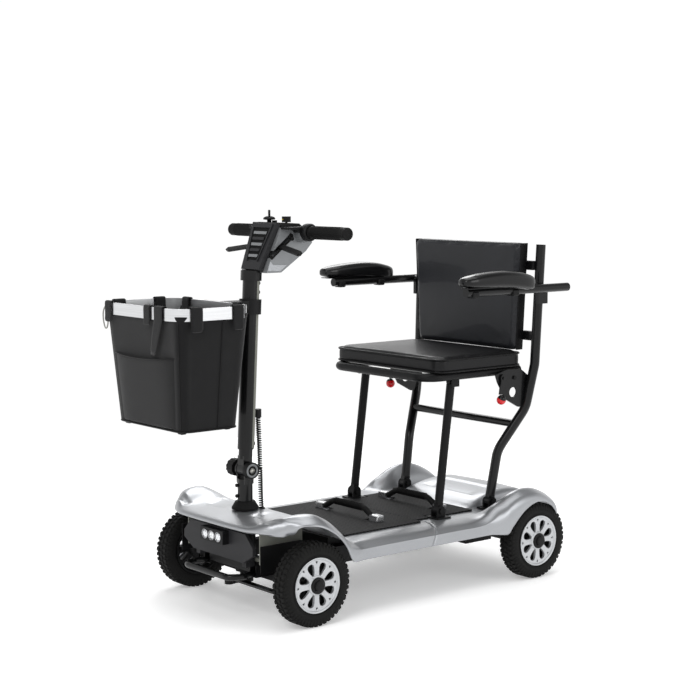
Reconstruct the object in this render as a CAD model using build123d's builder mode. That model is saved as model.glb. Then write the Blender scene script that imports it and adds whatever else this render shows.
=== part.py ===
"""Four-wheel mobility scooter, built as separate pieces in millimetres.

The scooter faces -Y, +X is its left side and +Z is up. The origin is on the floor, under the
middle of the whole scooter. Places along the scooter are measured from the front axle.
"""
from build123d import *
import os
from math import cos, radians, sin, tan

os.makedirs("parts", exist_ok=True)

# ---- overall sizes ----
front_axle_y = -272.0
wheelbase = 737.0
tyre_radius = 100.0
tyre_width = 50.0
wheel_middle_x = 246.0
axle_z = tyre_radius
rear_axle_y = front_axle_y + wheelbase

# ---- clearances ----
running = 0.05  # radial gap of a pin or shaft in its bore
open_pivot = 1.0  # radial gap where a closed linkage is opened
gap = 0.4  # side gap between two bodies

# ---- chassis ----
rail_x = 96.0
rail_width = 26.0
rail_height = 40.0
rail_z = 116.0
rail_wall = 2.0
rail_front_y = front_axle_y - 60
rail_rear_y = front_axle_y + 816
cross_height = 20.0
cross_width = 30.0
seat_cross_z = 158.0
deck_z = 180.0
shell_wall = 3.5
waist_x = 262.0
skirt_z = 137.0
fender_x = 272.0
nose_y = front_axle_y - 120
seam_y = front_axle_y + 400
fairing_rear_y = front_axle_y + 852
arch_radius = 100.0
arch_top_z = 241.0
arch_inner_x = 160.0
mat_half_width = 184.0
mat_thickness = 4.0
front_mat_y = front_axle_y + 150
rear_mat_end_y = front_axle_y + 600

axle_tube_radius = 19.0
stem_half = 13.0
rear_box_half_width = 140.0
fender_inner_x = 196.0

# ---- steering column ----
column_y = front_axle_y - 12
head_tube_radius = 25.0
head_tube_low_z = 88.0
head_tube_high_z = 234.0
steer_shaft_radius = 14.0
lower_tube_radius = 18.5
lower_tube_low_z = 250.0
lower_tube_high_z = 316.0
knuckle_z = 339.0
knuckle_radius = 17.0
ear_inner_x = 12.7
ear_thickness = 5.0
pivot_bolt_radius = 5.0
pitman_length = 50.0
pitman_thickness = 8.0
pitman_pin_radius = 5.0

# ---- front suspension ----
kingpin_x = 190.0
kingpin_radius = 8.0
kingpin_boss_radius = 14.0
kingpin_boss_height = 36.0
stub_radius = 8.0
beam_section = 26.0
yoke_thickness = 6.0
rod_thickness = 5.0
steer_arm_low_z = axle_z - kingpin_boss_height / 2 - gap - yoke_thickness
rod_low_z = steer_arm_low_z - gap - rod_thickness
pitman_z = rod_low_z - gap - pitman_thickness / 2

# ---- wheels ----
rim_radius = 65.5
rim_bed_radius = 60.0
hub_radius = 26.0
hub_half_width = 20.0
spoke_count = 8
spoke_width = 12.0
cap_radius = 19.5
cap_reach = 34.0

# ---- tiller ----
tiller_lean = 2.7
upper_tube_radius = 17.0
upper_tube_low = 26.0
sleeve_low = 50.0
sleeve_high = 478.0
sleeve_wall = 3.0
head_width = 104.0
bar_radius = 11.0
grip_radius = 15.5
grip_end_x = 231.0
grip_start_x = 78.0
grip_y = front_axle_y + 122
grip_z = 914.0
lever_thickness = 7.0
lever_slot_height = 14.0
lever_slot_length = 80.0
lever_pin_radius = 3.0
lever_slot_angle = 38.5
lever_y = front_axle_y + 62
lever_z = 880.0

# ---- basket ----
basket_half_width = 166.0
basket_front_y = front_axle_y - 310
basket_rear_y = front_axle_y - 98
basket_floor_half_width = 139.0
basket_floor_front_y = front_axle_y - 286
basket_floor_rear_y = front_axle_y - 128
basket_floor_z = 469.0
rim_band_low_z = 726.0
rim_band_height = 28.0
rim_band_thickness = 5.0
bag_wall = 3.0
basket_corner = 52.0

# ---- seat ----
tube_radius = 11.0
seat_tube_wall = 2.0
leg_x = 168.0
leg_foot_y = front_axle_y + 473
rear_foot_y = front_axle_y + 656
foot_z = 199.0
leg_lean_y = 42.0
leg_rise = 329.0
eye_half_thickness = 7.0
foot_eye_radius = 13.0
neck_length = 19.0
top_eye_radius = 10.0
foot_pin_radius = 4.0
back_tube_radius = 12.5
pan_tube_x = 188.0
pan_front_y = front_axle_y + 416
pan_rear_y = front_axle_y + 738
pan_z = 545.0
plate_inner_x = 209.0
plate_thickness = 4.0
cushion_half_width = 209.0
cushion_front_y = front_axle_y + 436
cushion_rear_y = front_axle_y + 740
cushion_low_z = 556.0
cushion_height = 37.0
back_pad_half_width = 200.0
back_pad_low_z = 594.0
back_pad_high_z = 878.0
back_pad_front_y = front_axle_y + 722
back_pad_thickness = 28.0
arm_bar_x = 262.0
arm_pivot_y = front_axle_y + 770
arm_pivot_z = 761.0
arm_bar_front_y = front_axle_y + 476
arm_bar_rear_y = front_axle_y + 841
arm_pad_x = 276.0
arm_pad_half_width = 27.0
arm_pad_front_y = front_axle_y + 440
arm_pad_length = 258.0
arm_pad_low_z = 774.0
arm_pad_height = 37.0
latch_pivot_y = front_axle_y + 655
latch_pivot_z = 530.0
latch_ball_radius = 11.5


def save(part, name):
    """Label one finished piece and write it as its own file."""
    part.label = name
    export_step(part, f"parts/{name}.step")


def bent_tube(points, bends, outer, wall):
    """A round tube of one wall thickness along straight runs and bends."""
    with BuildPart() as tube:
        with BuildLine() as route:
            FilletPolyline(*points, radius=bends)
        with BuildSketch(Plane(route.line @ 0, z_dir=route.line % 0)):
            Circle(outer)
            Circle(outer - wall, mode=Mode.SUBTRACT)
        sweep()
    return tube.part


def mirrored(part):
    """The same piece on the scooter's other side."""
    return mirror(part, about=Plane.YZ)


def turned(plane_origin, angle):
    """A plane across the scooter whose up direction leans back by an angle in degrees."""
    lean = radians(angle)
    return Plane(origin=plane_origin, x_dir=(1, 0, 0), z_dir=(0, sin(lean), cos(lean)))


# =========================== chassis ===========================

with BuildPart() as chassis_frame:
    rail_length = rail_rear_y - rail_front_y
    rail_middle_y = (rail_rear_y + rail_front_y) / 2
    for side in (-1, 1):
        with Locations((side * rail_x, rail_middle_y, rail_z)):
            Box(rail_width, rail_length, rail_height)
    cross_span = 2 * rail_x - rail_width + 2
    for cross_y in (rail_front_y + 15, front_axle_y + 150, front_axle_y + 452, rail_rear_y - 15):
        with Locations((0, cross_y, rail_z)):
            Box(cross_span, cross_width, cross_height)
    for cross_y in (leg_foot_y, rear_foot_y):
        with Locations((0, cross_y, seat_cross_z - cross_height / 2)):
            Box(2 * (leg_x + stem_half), cross_width, cross_height)
        for side in (-1, 1):
            with Locations((side * rail_x, cross_y, rail_z + rail_height / 2)):
                Box(rail_width, cross_width, 8)
    with Locations((0, column_y, rail_z)):
        Box(cross_span, 44, cross_height)
    for side in (-1, 1):
        with Locations((side * rail_x, rail_middle_y, rail_z)):
            Box(rail_width - 2 * rail_wall, rail_length, rail_height - 2 * rail_wall, mode=Mode.SUBTRACT)
    with BuildSketch(Plane.YZ.offset(-rail_x - rail_width)):
        with Locations((rear_axle_y, axle_z)):
            Circle(axle_tube_radius + 0.2)
    extrude(amount=2 * (rail_x + rail_width), mode=Mode.SUBTRACT)
    with BuildSketch(Plane.XY.offset(head_tube_low_z)):
        with Locations((0, column_y)):
            Circle(head_tube_radius)
    extrude(amount=head_tube_high_z - head_tube_low_z)
    with BuildSketch(Plane.XY.offset(head_tube_low_z)):
        with Locations((0, column_y)):
            Circle(steer_shaft_radius + running)
    extrude(amount=head_tube_high_z - head_tube_low_z, mode=Mode.SUBTRACT)
save(chassis_frame.part, "chassis_frame")

with BuildPart() as front_axle_beam:
    beam_y = column_y + head_tube_radius + 2 + beam_section / 2
    with Locations((0, beam_y, rail_z - rail_height / 2 - beam_section / 2)):
        Box(2 * (kingpin_x - 30), beam_section, beam_section)
    for side in (-1, 1):
        with BuildSketch(Plane.XY.offset(axle_z - kingpin_boss_height / 2)):
            with Locations((side * kingpin_x, front_axle_y)):
                Circle(kingpin_boss_radius)
        extrude(amount=kingpin_boss_height)
        with Locations((side * (kingpin_x - 26), front_axle_y + 9, axle_z - 8)):
            Box(32, beam_section + 20, 20)
    for side in (-1, 1):
        with BuildSketch(Plane.XY.offset(axle_z - kingpin_boss_height / 2)):
            with Locations((side * kingpin_x, front_axle_y)):
                Circle(kingpin_radius + running)
        extrude(amount=kingpin_boss_height, mode=Mode.SUBTRACT)
save(front_axle_beam.part, "front_axle_beam")

bumper_z = 104.0
bumper_radius = 7.5
bumper_front_y = front_axle_y - 128
bumper_route = [
    (-rail_x, rail_front_y, bumper_z),
    (-rail_x, rail_front_y - 10, bumper_z),
    (-rail_x - 10, rail_front_y - 32, bumper_z),
    (-rail_x + 8, bumper_front_y, bumper_z),
    (rail_x - 8, bumper_front_y, bumper_z),
    (rail_x + 10, rail_front_y - 32, bumper_z),
    (rail_x, rail_front_y - 10, bumper_z),
    (rail_x, rail_front_y, bumper_z),
]
save(bent_tube(bumper_route, [16, 12, 22, 22, 12, 16], bumper_radius, 1.5), "front_bumper")

panel_back_y = front_axle_y - 86
panel_thickness = 9.0
panel_half_outline = [(0, 137), (104, 137), (144, 160), (144, 178), (114, 208), (0, 208)]
with BuildPart() as front_panel:
    with BuildSketch(Plane.XZ.offset(-panel_back_y)):
        with BuildLine():
            Polyline(*panel_half_outline, close=True)
        make_face()
        mirror(about=Plane.YZ)
    extrude(amount=panel_thickness)
    with BuildSketch(Plane.XZ.offset(-panel_back_y)):
        with Locations((0, 189)):
            Rectangle(78, 22)
    extrude(amount=panel_thickness, mode=Mode.SUBTRACT)
    for side in (-1, 1):
        with Locations((side * rail_x, (rail_front_y + panel_back_y) / 2, rail_z + rail_height / 2)):
            Box(16, rail_front_y - panel_back_y, 24)
save(front_panel.part, "front_panel")

panel_front_y = panel_back_y - panel_thickness
light_depth = 18.0
lens_radius = 11.0
lens_pitch = 27.0
with BuildPart() as light_housing:
    with Locations((0, panel_front_y - light_depth / 2, 189)):
        Box(94, light_depth, 32)
    with Locations((0, panel_front_y + 4, 189)):
        Box(77, 8, 21)
    for index in (-1, 0, 1):
        with BuildSketch(Plane.XZ.offset(-panel_front_y + light_depth)):
            with Locations((index * lens_pitch, 189)):
                Circle(lens_radius)
        extrude(amount=-10, mode=Mode.SUBTRACT)
save(light_housing.part, "headlight_housing")

with BuildPart() as lenses:
    for index in (-1, 0, 1):
        with BuildSketch(Plane.XZ.offset(-panel_front_y + light_depth - 10)):
            with Locations((index * lens_pitch, 189)):
                Circle(lens_radius)
        extrude(amount=9)
save(lenses.part, "headlight_lenses")


# ---- fairings: thin shells, open below ----
# Each outline is a row of (distance behind the front axle, height) or (half width, height).

deck_section = [(184, deck_z), (238, 175), (256, 162), (waist_x, skirt_z)]
front_fender_top = [(-120, 222), (-112, 232), (-60, 250), (0, 258), (46, 244), (88, 215), (127, 176), (150, 140)]
nose_plan = [(200, -121), (262, -84), (fender_x, -50), (fender_x, 160)]
rear_fender_top = [(560, 150), (586, 196), (637, 216), (676, 234), (731, 232), (793, 207), (833, 168), (840, 150)]
rear_box_top = [(606, 184), (652, 200), (700, 216), (780, 216), (838, 196), (852, 160)]
front_crown_half_width = 120.0
front_crown_z = 241.0


def thinned(outline, wall):
    """The inner line of a shell whose outer line is given, ends moved in and top moved down."""
    first, last = outline[0][0], outline[-1][0]
    return [(min(max(y, first + wall), last - wall), z - wall * 1.25) for y, z in outline]


def side_solid(outline, x_start, x_end, low_z):
    """A closed body from its top line in side view, between two places across the scooter."""
    top = [(front_axle_y + y, z) for y, z in outline]
    with BuildPart() as body:
        with BuildSketch(Plane.YZ.offset(x_start)):
            with BuildLine():
                Polyline((top[0][0], low_z), *top, (top[-1][0], low_z), close=True)
            make_face()
        extrude(amount=x_end - x_start)
    return body.part


def deck_solid(start_y, end_y, wall, low_z):
    """The long low part of a fairing, or its hollow when a wall is given."""
    half = [(x - wall, z - wall) for x, z in deck_section[:-1]] + [(waist_x - wall, low_z)]
    with BuildPart() as deck:
        with BuildSketch(Plane.XZ.offset(-start_y)):
            with BuildLine():
                Polyline((0, deck_z - wall), *half, (0, low_z), close=True)
            make_face()
            mirror(about=Plane.YZ)
        extrude(amount=start_y - end_y)
    return deck.part


def plan_solid(half_plan, wall):
    """An upright body with the nose's plan outline, drawn in by a wall."""
    points = [(x - wall, front_axle_y + y + (wall if y < 0 else 0)) for x, y in half_plan]
    with BuildPart() as plan:
        with BuildSketch(Plane.XY.offset(skirt_z - 40)):
            with BuildLine():
                Polyline((0, points[0][1]), *points, (0, points[-1][1]), close=True)
            make_face()
            mirror(about=Plane.YZ)
        extrude(amount=200)
    return plan.part


cut_low_z = skirt_z - 30
nose_outer = side_solid(front_fender_top, -fender_x, fender_x, skirt_z) & plan_solid(nose_plan, 0)
nose_inner = side_solid(thinned(front_fender_top, shell_wall), -fender_x, fender_x, cut_low_z)
nose_inner = nose_inner & plan_solid(nose_plan, shell_wall)
column_hole_radius = head_tube_radius + 3
cord_x = 15.0
cord_foot_y = front_axle_y + 26
grommet_radius = 9.0

with BuildPart() as front_fairing:
    add(nose_outer)
    with Locations((0, front_axle_y + 20, front_crown_z + 20)):
        Box(2 * front_crown_half_width, 240, 40, mode=Mode.SUBTRACT)
    add(deck_solid(front_axle_y + 96, seam_y, 0, skirt_z))
    add(nose_inner, mode=Mode.SUBTRACT)
    add(deck_solid(front_axle_y + 96, seam_y, shell_wall, cut_low_z), mode=Mode.SUBTRACT)
    with BuildSketch(Plane.XY.offset(front_crown_z - shell_wall)):
        with Locations((0, front_axle_y - 14)):
            Rectangle(2 * front_crown_half_width + 8, 122)
        with Locations((0, column_y)):
            Circle(column_hole_radius, mode=Mode.SUBTRACT)
        with Locations((cord_x, cord_foot_y)):
            Circle(grommet_radius, mode=Mode.SUBTRACT)
    extrude(amount=shell_wall)
    with BuildSketch(Plane.XY.offset(front_crown_z - 30)):
        with Locations((0, column_y)):
            Circle(column_hole_radius)
        with Locations((cord_x, cord_foot_y)):
            Circle(grommet_radius)
    extrude(amount=60, mode=Mode.SUBTRACT)
    for side in (-1, 1):
        with BuildSketch(Plane.YZ.offset(side * (fender_x + 10))):
            with BuildLine():
                lip = [(-135, cut_low_z), (-135, 221), (-117, 224), (-70, 239), (2, arch_top_z)]
                Polyline(*[(front_axle_y + y, z) for y, z in lip])
                ThreePointArc(
                    (front_axle_y + 2, arch_top_z),
                    (front_axle_y + 2 + arch_radius * sin(radians(45)), 141 + arch_radius * cos(radians(45))),
                    (front_axle_y + 2 + arch_radius, 141),
                )
                Polyline(
                    (front_axle_y + 2 + arch_radius, 141),
                    (front_axle_y + 2 + arch_radius, cut_low_z),
                    (front_axle_y - 135, cut_low_z),
                )
            make_face()
        extrude(amount=-side * (fender_x + 10 - arch_inner_x), mode=Mode.SUBTRACT)
    with Locations((0, front_axle_y - 115, skirt_z + 32)):
        Box(2 * arch_inner_x + 2, 60, 106, mode=Mode.SUBTRACT)
save(front_fairing.part, "front_fairing")

deck_end_y = front_axle_y + 836
rear_fender = side_solid(rear_fender_top, fender_inner_x, fender_x, skirt_z)
rear_fender_inner = side_solid(
    thinned(rear_fender_top, shell_wall), fender_inner_x + shell_wall, fender_x - shell_wall, cut_low_z
)
with BuildPart() as rear_fairing:
    add(deck_solid(seam_y + 1, deck_end_y, 0, skirt_z))
    add(side_solid(rear_box_top, -rear_box_half_width, rear_box_half_width, skirt_z))
    add(rear_fender)
    add(mirrored(rear_fender))
    add(deck_solid(seam_y, deck_end_y - shell_wall, shell_wall, cut_low_z), mode=Mode.SUBTRACT)
    box_inner = thinned(rear_box_top, shell_wall)
    add(
        side_solid(box_inner, -rear_box_half_width + shell_wall, rear_box_half_width - shell_wall, cut_low_z),
        mode=Mode.SUBTRACT,
    )
    add(rear_fender_inner, mode=Mode.SUBTRACT)
    add(mirrored(rear_fender_inner), mode=Mode.SUBTRACT)
    for side in (-1, 1):
        with BuildSketch(Plane.YZ.offset(side * (fender_x + 10))):
            with Locations((rear_axle_y, axle_z)):
                Circle(tyre_radius + 5)
        extrude(amount=-side * (fender_x + 10 - wheel_middle_x + tyre_width / 2 + 8), mode=Mode.SUBTRACT)
        for foot_y in (leg_foot_y, rear_foot_y):
            with Locations((side * leg_x, foot_y, skirt_z + 60)):
                Box(2 * stem_half + 2, 2 * stem_half + 2, 140, mode=Mode.SUBTRACT)
save(rear_fairing.part, "rear_fairing")

handle_half_length = 96.0
handle_rise = 18.0
handle_radius = 7.5
handle_y_front = front_axle_y + 316
handle_y_rear = front_axle_y + 533
handle_foot_x = handle_half_length + 4
handle_foot_length = 48.0
mat_top_z = deck_z + mat_thickness
with BuildPart() as floor_mats:
    with BuildSketch(Plane.XY.offset(deck_z)):
        with Locations((0, (front_mat_y + seam_y) / 2)):
            Rectangle(2 * mat_half_width, seam_y - front_mat_y - 2)
        for side in (-1, 1):
            with Locations((side * handle_foot_x, handle_y_front)):
                Rectangle(handle_foot_length, 26, mode=Mode.SUBTRACT)
    extrude(amount=mat_thickness)
    with BuildSketch(Plane.XY.offset(deck_z)):
        with Locations((0, (seam_y + rear_mat_end_y) / 2)):
            Rectangle(2 * mat_half_width - 44, rear_mat_end_y - seam_y - 2)
        for side in (-1, 1):
            with Locations((side * leg_x, leg_foot_y)):
                Rectangle(58, 54, mode=Mode.SUBTRACT)
            with Locations((side * handle_foot_x, handle_y_rear)):
                Rectangle(handle_foot_length, 26, mode=Mode.SUBTRACT)
    extrude(amount=mat_thickness)
save(floor_mats.part, "floor_mats")

with BuildPart() as carry_handles:
    for handle_y in (handle_y_front, handle_y_rear):
        with BuildLine() as route:
            FilletPolyline(
                (-handle_half_length, handle_y, mat_top_z + 6.8),
                (-handle_half_length + 34, handle_y, mat_top_z + 8 + handle_rise),
                (handle_half_length - 34, handle_y, mat_top_z + 8 + handle_rise),
                (handle_half_length, handle_y, mat_top_z + 6.8),
                radius=30,
            )
        with BuildSketch(Plane(route.line @ 0, z_dir=route.line % 0)):
            Circle(handle_radius)
        sweep()
save(carry_handles.part, "carry_handles")

with BuildPart() as handle_caps:
    for handle_y in (handle_y_front, handle_y_rear):
        for side in (-1, 1):
            with Locations((side * (handle_half_length + 13), handle_y, deck_z + 9)):
                Box(28, 24, 18)
    # Each cap has a socket for the end of its handle.
    add(carry_handles.part, mode=Mode.SUBTRACT)
save(handle_caps.part, "handle_caps")

with BuildPart() as battery_pack:
    with Locations((0, front_axle_y + 300, rail_z + 4)):
        Box(2 * rail_x - rail_width, 240, 70)
save(battery_pack.part, "battery_pack")

liner_wall = 3.0
liner_inner_x = 148.0
liner_top_z = 230.0
liner_length = 126.0
with BuildPart() as wheel_arch_liners:
    for side in (-1, 1):
        with Locations((side * (liner_inner_x + liner_wall / 2), front_axle_y - 16, 184)):
            Box(liner_wall, liner_length, 2 * (liner_top_z - 184))
        with Locations((side * (rail_x + liner_inner_x) / 2, front_axle_y - 5, rail_z + rail_height / 2 + 4)):
            Box(liner_inner_x - rail_x, liner_length - 22, 8)
save(wheel_arch_liners.part, "wheel_arch_liners")

half_shaft_inner_x = 50.0
with BuildPart() as transaxle:
    with Locations((0, rear_axle_y, axle_z)):
        Box(90, 96, 84)
    with BuildSketch(Plane.YZ.offset(-200)):
        with Locations((rear_axle_y, axle_z)):
            Circle(axle_tube_radius)
    extrude(amount=400)
    with BuildSketch(Plane.XZ.offset(-rear_axle_y + 48)):
        with Locations((0, axle_z)):
            Circle(38)
    extrude(amount=110)
    for side in (-1, 1):
        with BuildSketch(Plane.YZ.offset(side * half_shaft_inner_x)):
            with Locations((rear_axle_y, axle_z)):
                Circle(stub_radius + running)
        extrude(amount=side * 200, mode=Mode.SUBTRACT)
save(transaxle.part, "transaxle")

ear_half_width = 13.5
bracket_top_z = deck_z + 4
with BuildPart() as seat_brackets:
    for side in (-1, 1):
        for foot_y in (leg_foot_y, rear_foot_y):
            x = side * leg_x
            with Locations((x, foot_y, (seat_cross_z + deck_z) / 2)):
                Box(2 * stem_half, 2 * stem_half, deck_z - seat_cross_z)
            with Locations((x, foot_y, deck_z + 2)):
                Box(48, 46, 4)
            for ear in (-1, 1):
                inner = x + ear * (eye_half_thickness + gap)
                with BuildSketch(Plane.YZ.offset(inner)):
                    with Locations((foot_y, (bracket_top_z + foot_z) / 2)):
                        Rectangle(2 * ear_half_width, foot_z - bracket_top_z)
                    with Locations((foot_y, foot_z)):
                        Circle(ear_half_width)
                extrude(amount=ear * 5)
            with BuildSketch(Plane.YZ.offset(x - eye_half_thickness - gap - 8)):
                with Locations((foot_y, foot_z)):
                    Circle(foot_pin_radius)
            extrude(amount=2 * (eye_half_thickness + gap + 8))
            for ear in (-1, 1):
                with BuildSketch(Plane.YZ.offset(x + ear * (eye_half_thickness + gap + 5))):
                    with Locations((foot_y, foot_z)):
                        RegularPolygon(8, 6)
                extrude(amount=ear * 4)
save(seat_brackets.part, "seat_brackets")

with BuildPart() as cord_grommet:
    with BuildSketch(Plane.XY.offset(front_crown_z - 6)):
        with Locations((cord_x, cord_foot_y)):
            Circle(grommet_radius - 0.1)
    extrude(amount=6)
save(cord_grommet.part, "cord_grommet")

# =========================== steering column ===========================

with BuildPart() as lower_column:
    with BuildSketch(Plane.XY.offset(pitman_z - pitman_thickness / 2)):
        with Locations((0, column_y)):
            Circle(steer_shaft_radius)
    extrude(amount=lower_tube_low_z - pitman_z + pitman_thickness / 2)
    with BuildSketch(Plane.XY.offset(lower_tube_low_z)):
        with Locations((0, column_y)):
            Circle(lower_tube_radius)
    extrude(amount=lower_tube_high_z - lower_tube_low_z)
    for side in (-1, 1):
        with BuildSketch(Plane.YZ.offset(side * ear_inner_x)):
            with Locations((column_y, knuckle_z)):
                Circle(knuckle_radius + 1)
            with Locations((column_y, (lower_tube_high_z - 12 + knuckle_z) / 2)):
                Rectangle(26, knuckle_z - lower_tube_high_z + 12)
        extrude(amount=side * ear_thickness)
    with BuildSketch(Plane.YZ.offset(-30)):
        with Locations((column_y, knuckle_z)):
            Circle(pivot_bolt_radius + running)
    extrude(amount=60, mode=Mode.SUBTRACT)
save(lower_column.part, "lower_column")

boot_radius = 33.0
with BuildPart() as column_boot:
    with BuildSketch(Plane.YZ):
        with BuildLine():
            Polyline(
                (lower_tube_radius + running, front_crown_z + 1),
                (boot_radius, front_crown_z + 1),
                (boot_radius, front_crown_z + 5),
                (24, front_crown_z + 20),
                (lower_tube_radius + running, front_crown_z + 20),
                close=True,
            )
        make_face()
    revolve(axis=Axis.Z)
save(Pos(0, column_y, 0) * column_boot.part, "column_boot")

with BuildPart() as pitman_arm:
    with BuildSketch(Plane.XY.offset(pitman_z - pitman_thickness / 2)):
        with Locations((0, column_y), (0, column_y - pitman_length)):
            Circle(11)
        with Locations((0, column_y)):
            Circle(19)
        with Locations((0, column_y - pitman_length / 2)):
            Rectangle(18, pitman_length)
        with Locations((0, column_y)):
            Circle(steer_shaft_radius + running, mode=Mode.SUBTRACT)
    extrude(amount=pitman_thickness)
    with BuildSketch(Plane.XY.offset(pitman_z)):
        with Locations((0, column_y - pitman_length)):
            Circle(pitman_pin_radius)
    extrude(amount=pitman_thickness / 2 + 14)
save(pitman_arm.part, "pitman_arm")

disc_x = ear_inner_x + ear_thickness + 0.1
with BuildPart() as column_bolts:
    with BuildSketch(Plane.YZ.offset(disc_x)):
        with Locations((column_y, knuckle_z)):
            Circle(20)
    extrude(amount=14)
    with BuildSketch(Plane.YZ.offset(-46)):
        with Locations((column_y, knuckle_z)):
            Circle(pivot_bolt_radius)
    extrude(amount=46 + disc_x)
    for bolt_z in (274, 300):
        with BuildSketch(Plane.XZ.offset(-column_y + lower_tube_radius + 0.2)):
            with Locations((-6, bolt_z)):
                Circle(4.5)
        extrude(amount=4)
save(column_bolts.part, "column_bolts")

knob_inner_x = -(disc_x + gap)
with BuildPart() as tilt_knob:
    with BuildSketch(Plane.YZ.offset(knob_inner_x)):
        with Locations((column_y, knuckle_z)):
            Circle(12)
            Circle(pivot_bolt_radius + running, mode=Mode.SUBTRACT)
    extrude(amount=-8)
    with BuildSketch(Plane.YZ.offset(knob_inner_x - 8)):
        with Locations((column_y, knuckle_z)):
            Circle(21.5)
            Circle(pivot_bolt_radius + running, mode=Mode.SUBTRACT)
            with PolarLocations(23.5, 12):
                Circle(3.2, mode=Mode.SUBTRACT)
    extrude(amount=-24)
save(tilt_knob.part, "tilt_knob")

# =========================== tiller ===========================

tiller_plane = turned((0, column_y, knuckle_z), tiller_lean)


def tiller_level(height):
    """A plane square to the tiller at a height above the knuckle pivot."""
    return tiller_plane.offset(height)


with BuildPart() as upper_column:
    with BuildSketch(tiller_level(upper_tube_low)):
        Circle(upper_tube_radius)
    extrude(amount=sleeve_high - 6 - upper_tube_low)
    tongue_half = ear_inner_x - 0.3
    with BuildSketch(Plane.YZ.offset(-tongue_half)):
        with Locations((column_y, knuckle_z)):
            Circle(knuckle_radius)
            with Locations((0, knuckle_radius)):
                Rectangle(26, 2 * knuckle_radius)
    extrude(amount=2 * tongue_half)
    with BuildSketch(Plane.YZ.offset(-tongue_half)):
        with Locations((column_y, knuckle_z)):
            Circle(pivot_bolt_radius + running)
    extrude(amount=2 * tongue_half, mode=Mode.SUBTRACT)
save(upper_column.part, "upper_column")

with BuildPart() as column_sleeve:
    with BuildSketch(tiller_level(sleeve_low)):
        Circle(upper_tube_radius + running + sleeve_wall)
        Circle(upper_tube_radius + running, mode=Mode.SUBTRACT)
    extrude(amount=sleeve_high - sleeve_low)
save(column_sleeve.part, "column_sleeve")

sleeve_radius = upper_tube_radius + running + sleeve_wall
with BuildPart() as tiller_bolts:
    for height in (sleeve_low + 12, sleeve_high - 46, sleeve_high - 24):
        back = tiller_plane.rotated((-90, 0, 0))
        with BuildSketch(back.offset(sleeve_radius + 0.3)):
            with Locations((0, -height)):
                Circle(4.5)
        extrude(amount=5)
save(tiller_bolts.part, "tiller_bolts")

clip_z = 466.0
cord_top_y = front_axle_y + 17
with BuildPart() as cord_clip:
    with BuildSketch(Plane.XY.offset(clip_z)):
        with Locations((cord_x, cord_top_y)):
            Circle(8.5)
    extrude(amount=20)
    with BuildSketch(tiller_level(sleeve_low - 40)):
        Circle(sleeve_radius + 0.2)
    extrude(amount=200, mode=Mode.SUBTRACT)
save(cord_clip.part, "cord_clip")

# Head outlines are (distance behind the front axle, height) in side view.
head_side = [(18.5, 818), (60.7, 926), (130, 926), (150, 912), (157, 888), (138, 868), (62, 818)]
collar_wall = 5.0
cover_lean = 22.0
cover_height = 121.0
cover_thickness = 13.0

with BuildPart() as head_body:
    with BuildSketch(Plane.YZ.offset(-head_width / 2)):
        with BuildLine():
            Polyline(*[(front_axle_y + y, z) for y, z in head_side], close=True)
        make_face()
    extrude(amount=head_width)
    with BuildSketch(Plane.YZ.offset(-grip_start_x + 1)):
        with Locations((grip_y, grip_z - 5)):
            Circle(20)
    extrude(amount=2 * grip_start_x - 2)
    with Locations((0, grip_y, grip_z + 22)):
        Box(2 * grip_start_x, 60, 20, mode=Mode.SUBTRACT)
    with BuildSketch(Plane.YZ.offset(-grip_start_x)):
        with Locations((grip_y, grip_z)):
            Circle(bar_radius + running)
    extrude(amount=2 * grip_start_x, mode=Mode.SUBTRACT)
    with BuildSketch(tiller_level(sleeve_high - 16)):
        Circle(sleeve_radius + collar_wall)
    extrude(amount=19)
    with BuildSketch(tiller_level(sleeve_high - 60)):
        Circle(sleeve_radius + 0.3)
    extrude(amount=61, mode=Mode.SUBTRACT)
    slot_plane = Plane(
        origin=(0, lever_y, lever_z),
        x_dir=(1, 0, 0),
        z_dir=(0, -sin(radians(lever_slot_angle)), cos(radians(lever_slot_angle))),
    )
    with BuildSketch(slot_plane.offset(-lever_slot_height / 2)):
        Rectangle(head_width + 60, lever_slot_length)
    extrude(amount=lever_slot_height, mode=Mode.SUBTRACT)
    with BuildSketch(slot_plane.offset(-lever_slot_height / 2 - 1)):
        Circle(lever_pin_radius)
    extrude(amount=lever_slot_height + 2)
save(head_body.part, "head_body")

cover_plane = turned((0, front_axle_y + 6, 826), cover_lean).rotated((90, 0, 0))
with BuildPart() as head_cover:
    with BuildSketch(cover_plane.offset(-cover_thickness)):
        with BuildLine():
            Polyline((-36, 0), (36, 0), (47.5, cover_height), (-47.5, cover_height), close=True)
        make_face()
    extrude(amount=cover_thickness)
    with BuildSketch(cover_plane.offset(-5)):
        with BuildLine():
            Polyline((-20, 30), (20, 30), (34, 104), (-34, 104), close=True)
        make_face()
    extrude(amount=6, mode=Mode.SUBTRACT)
    for index in range(5):
        with BuildSketch(cover_plane.offset(-5)):
            with Locations((0, 38 + 14.5 * index)):
                Rectangle(40 + 5.3 * index, 5)
        extrude(amount=3.5)
save(head_cover.part, "head_cover")

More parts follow.
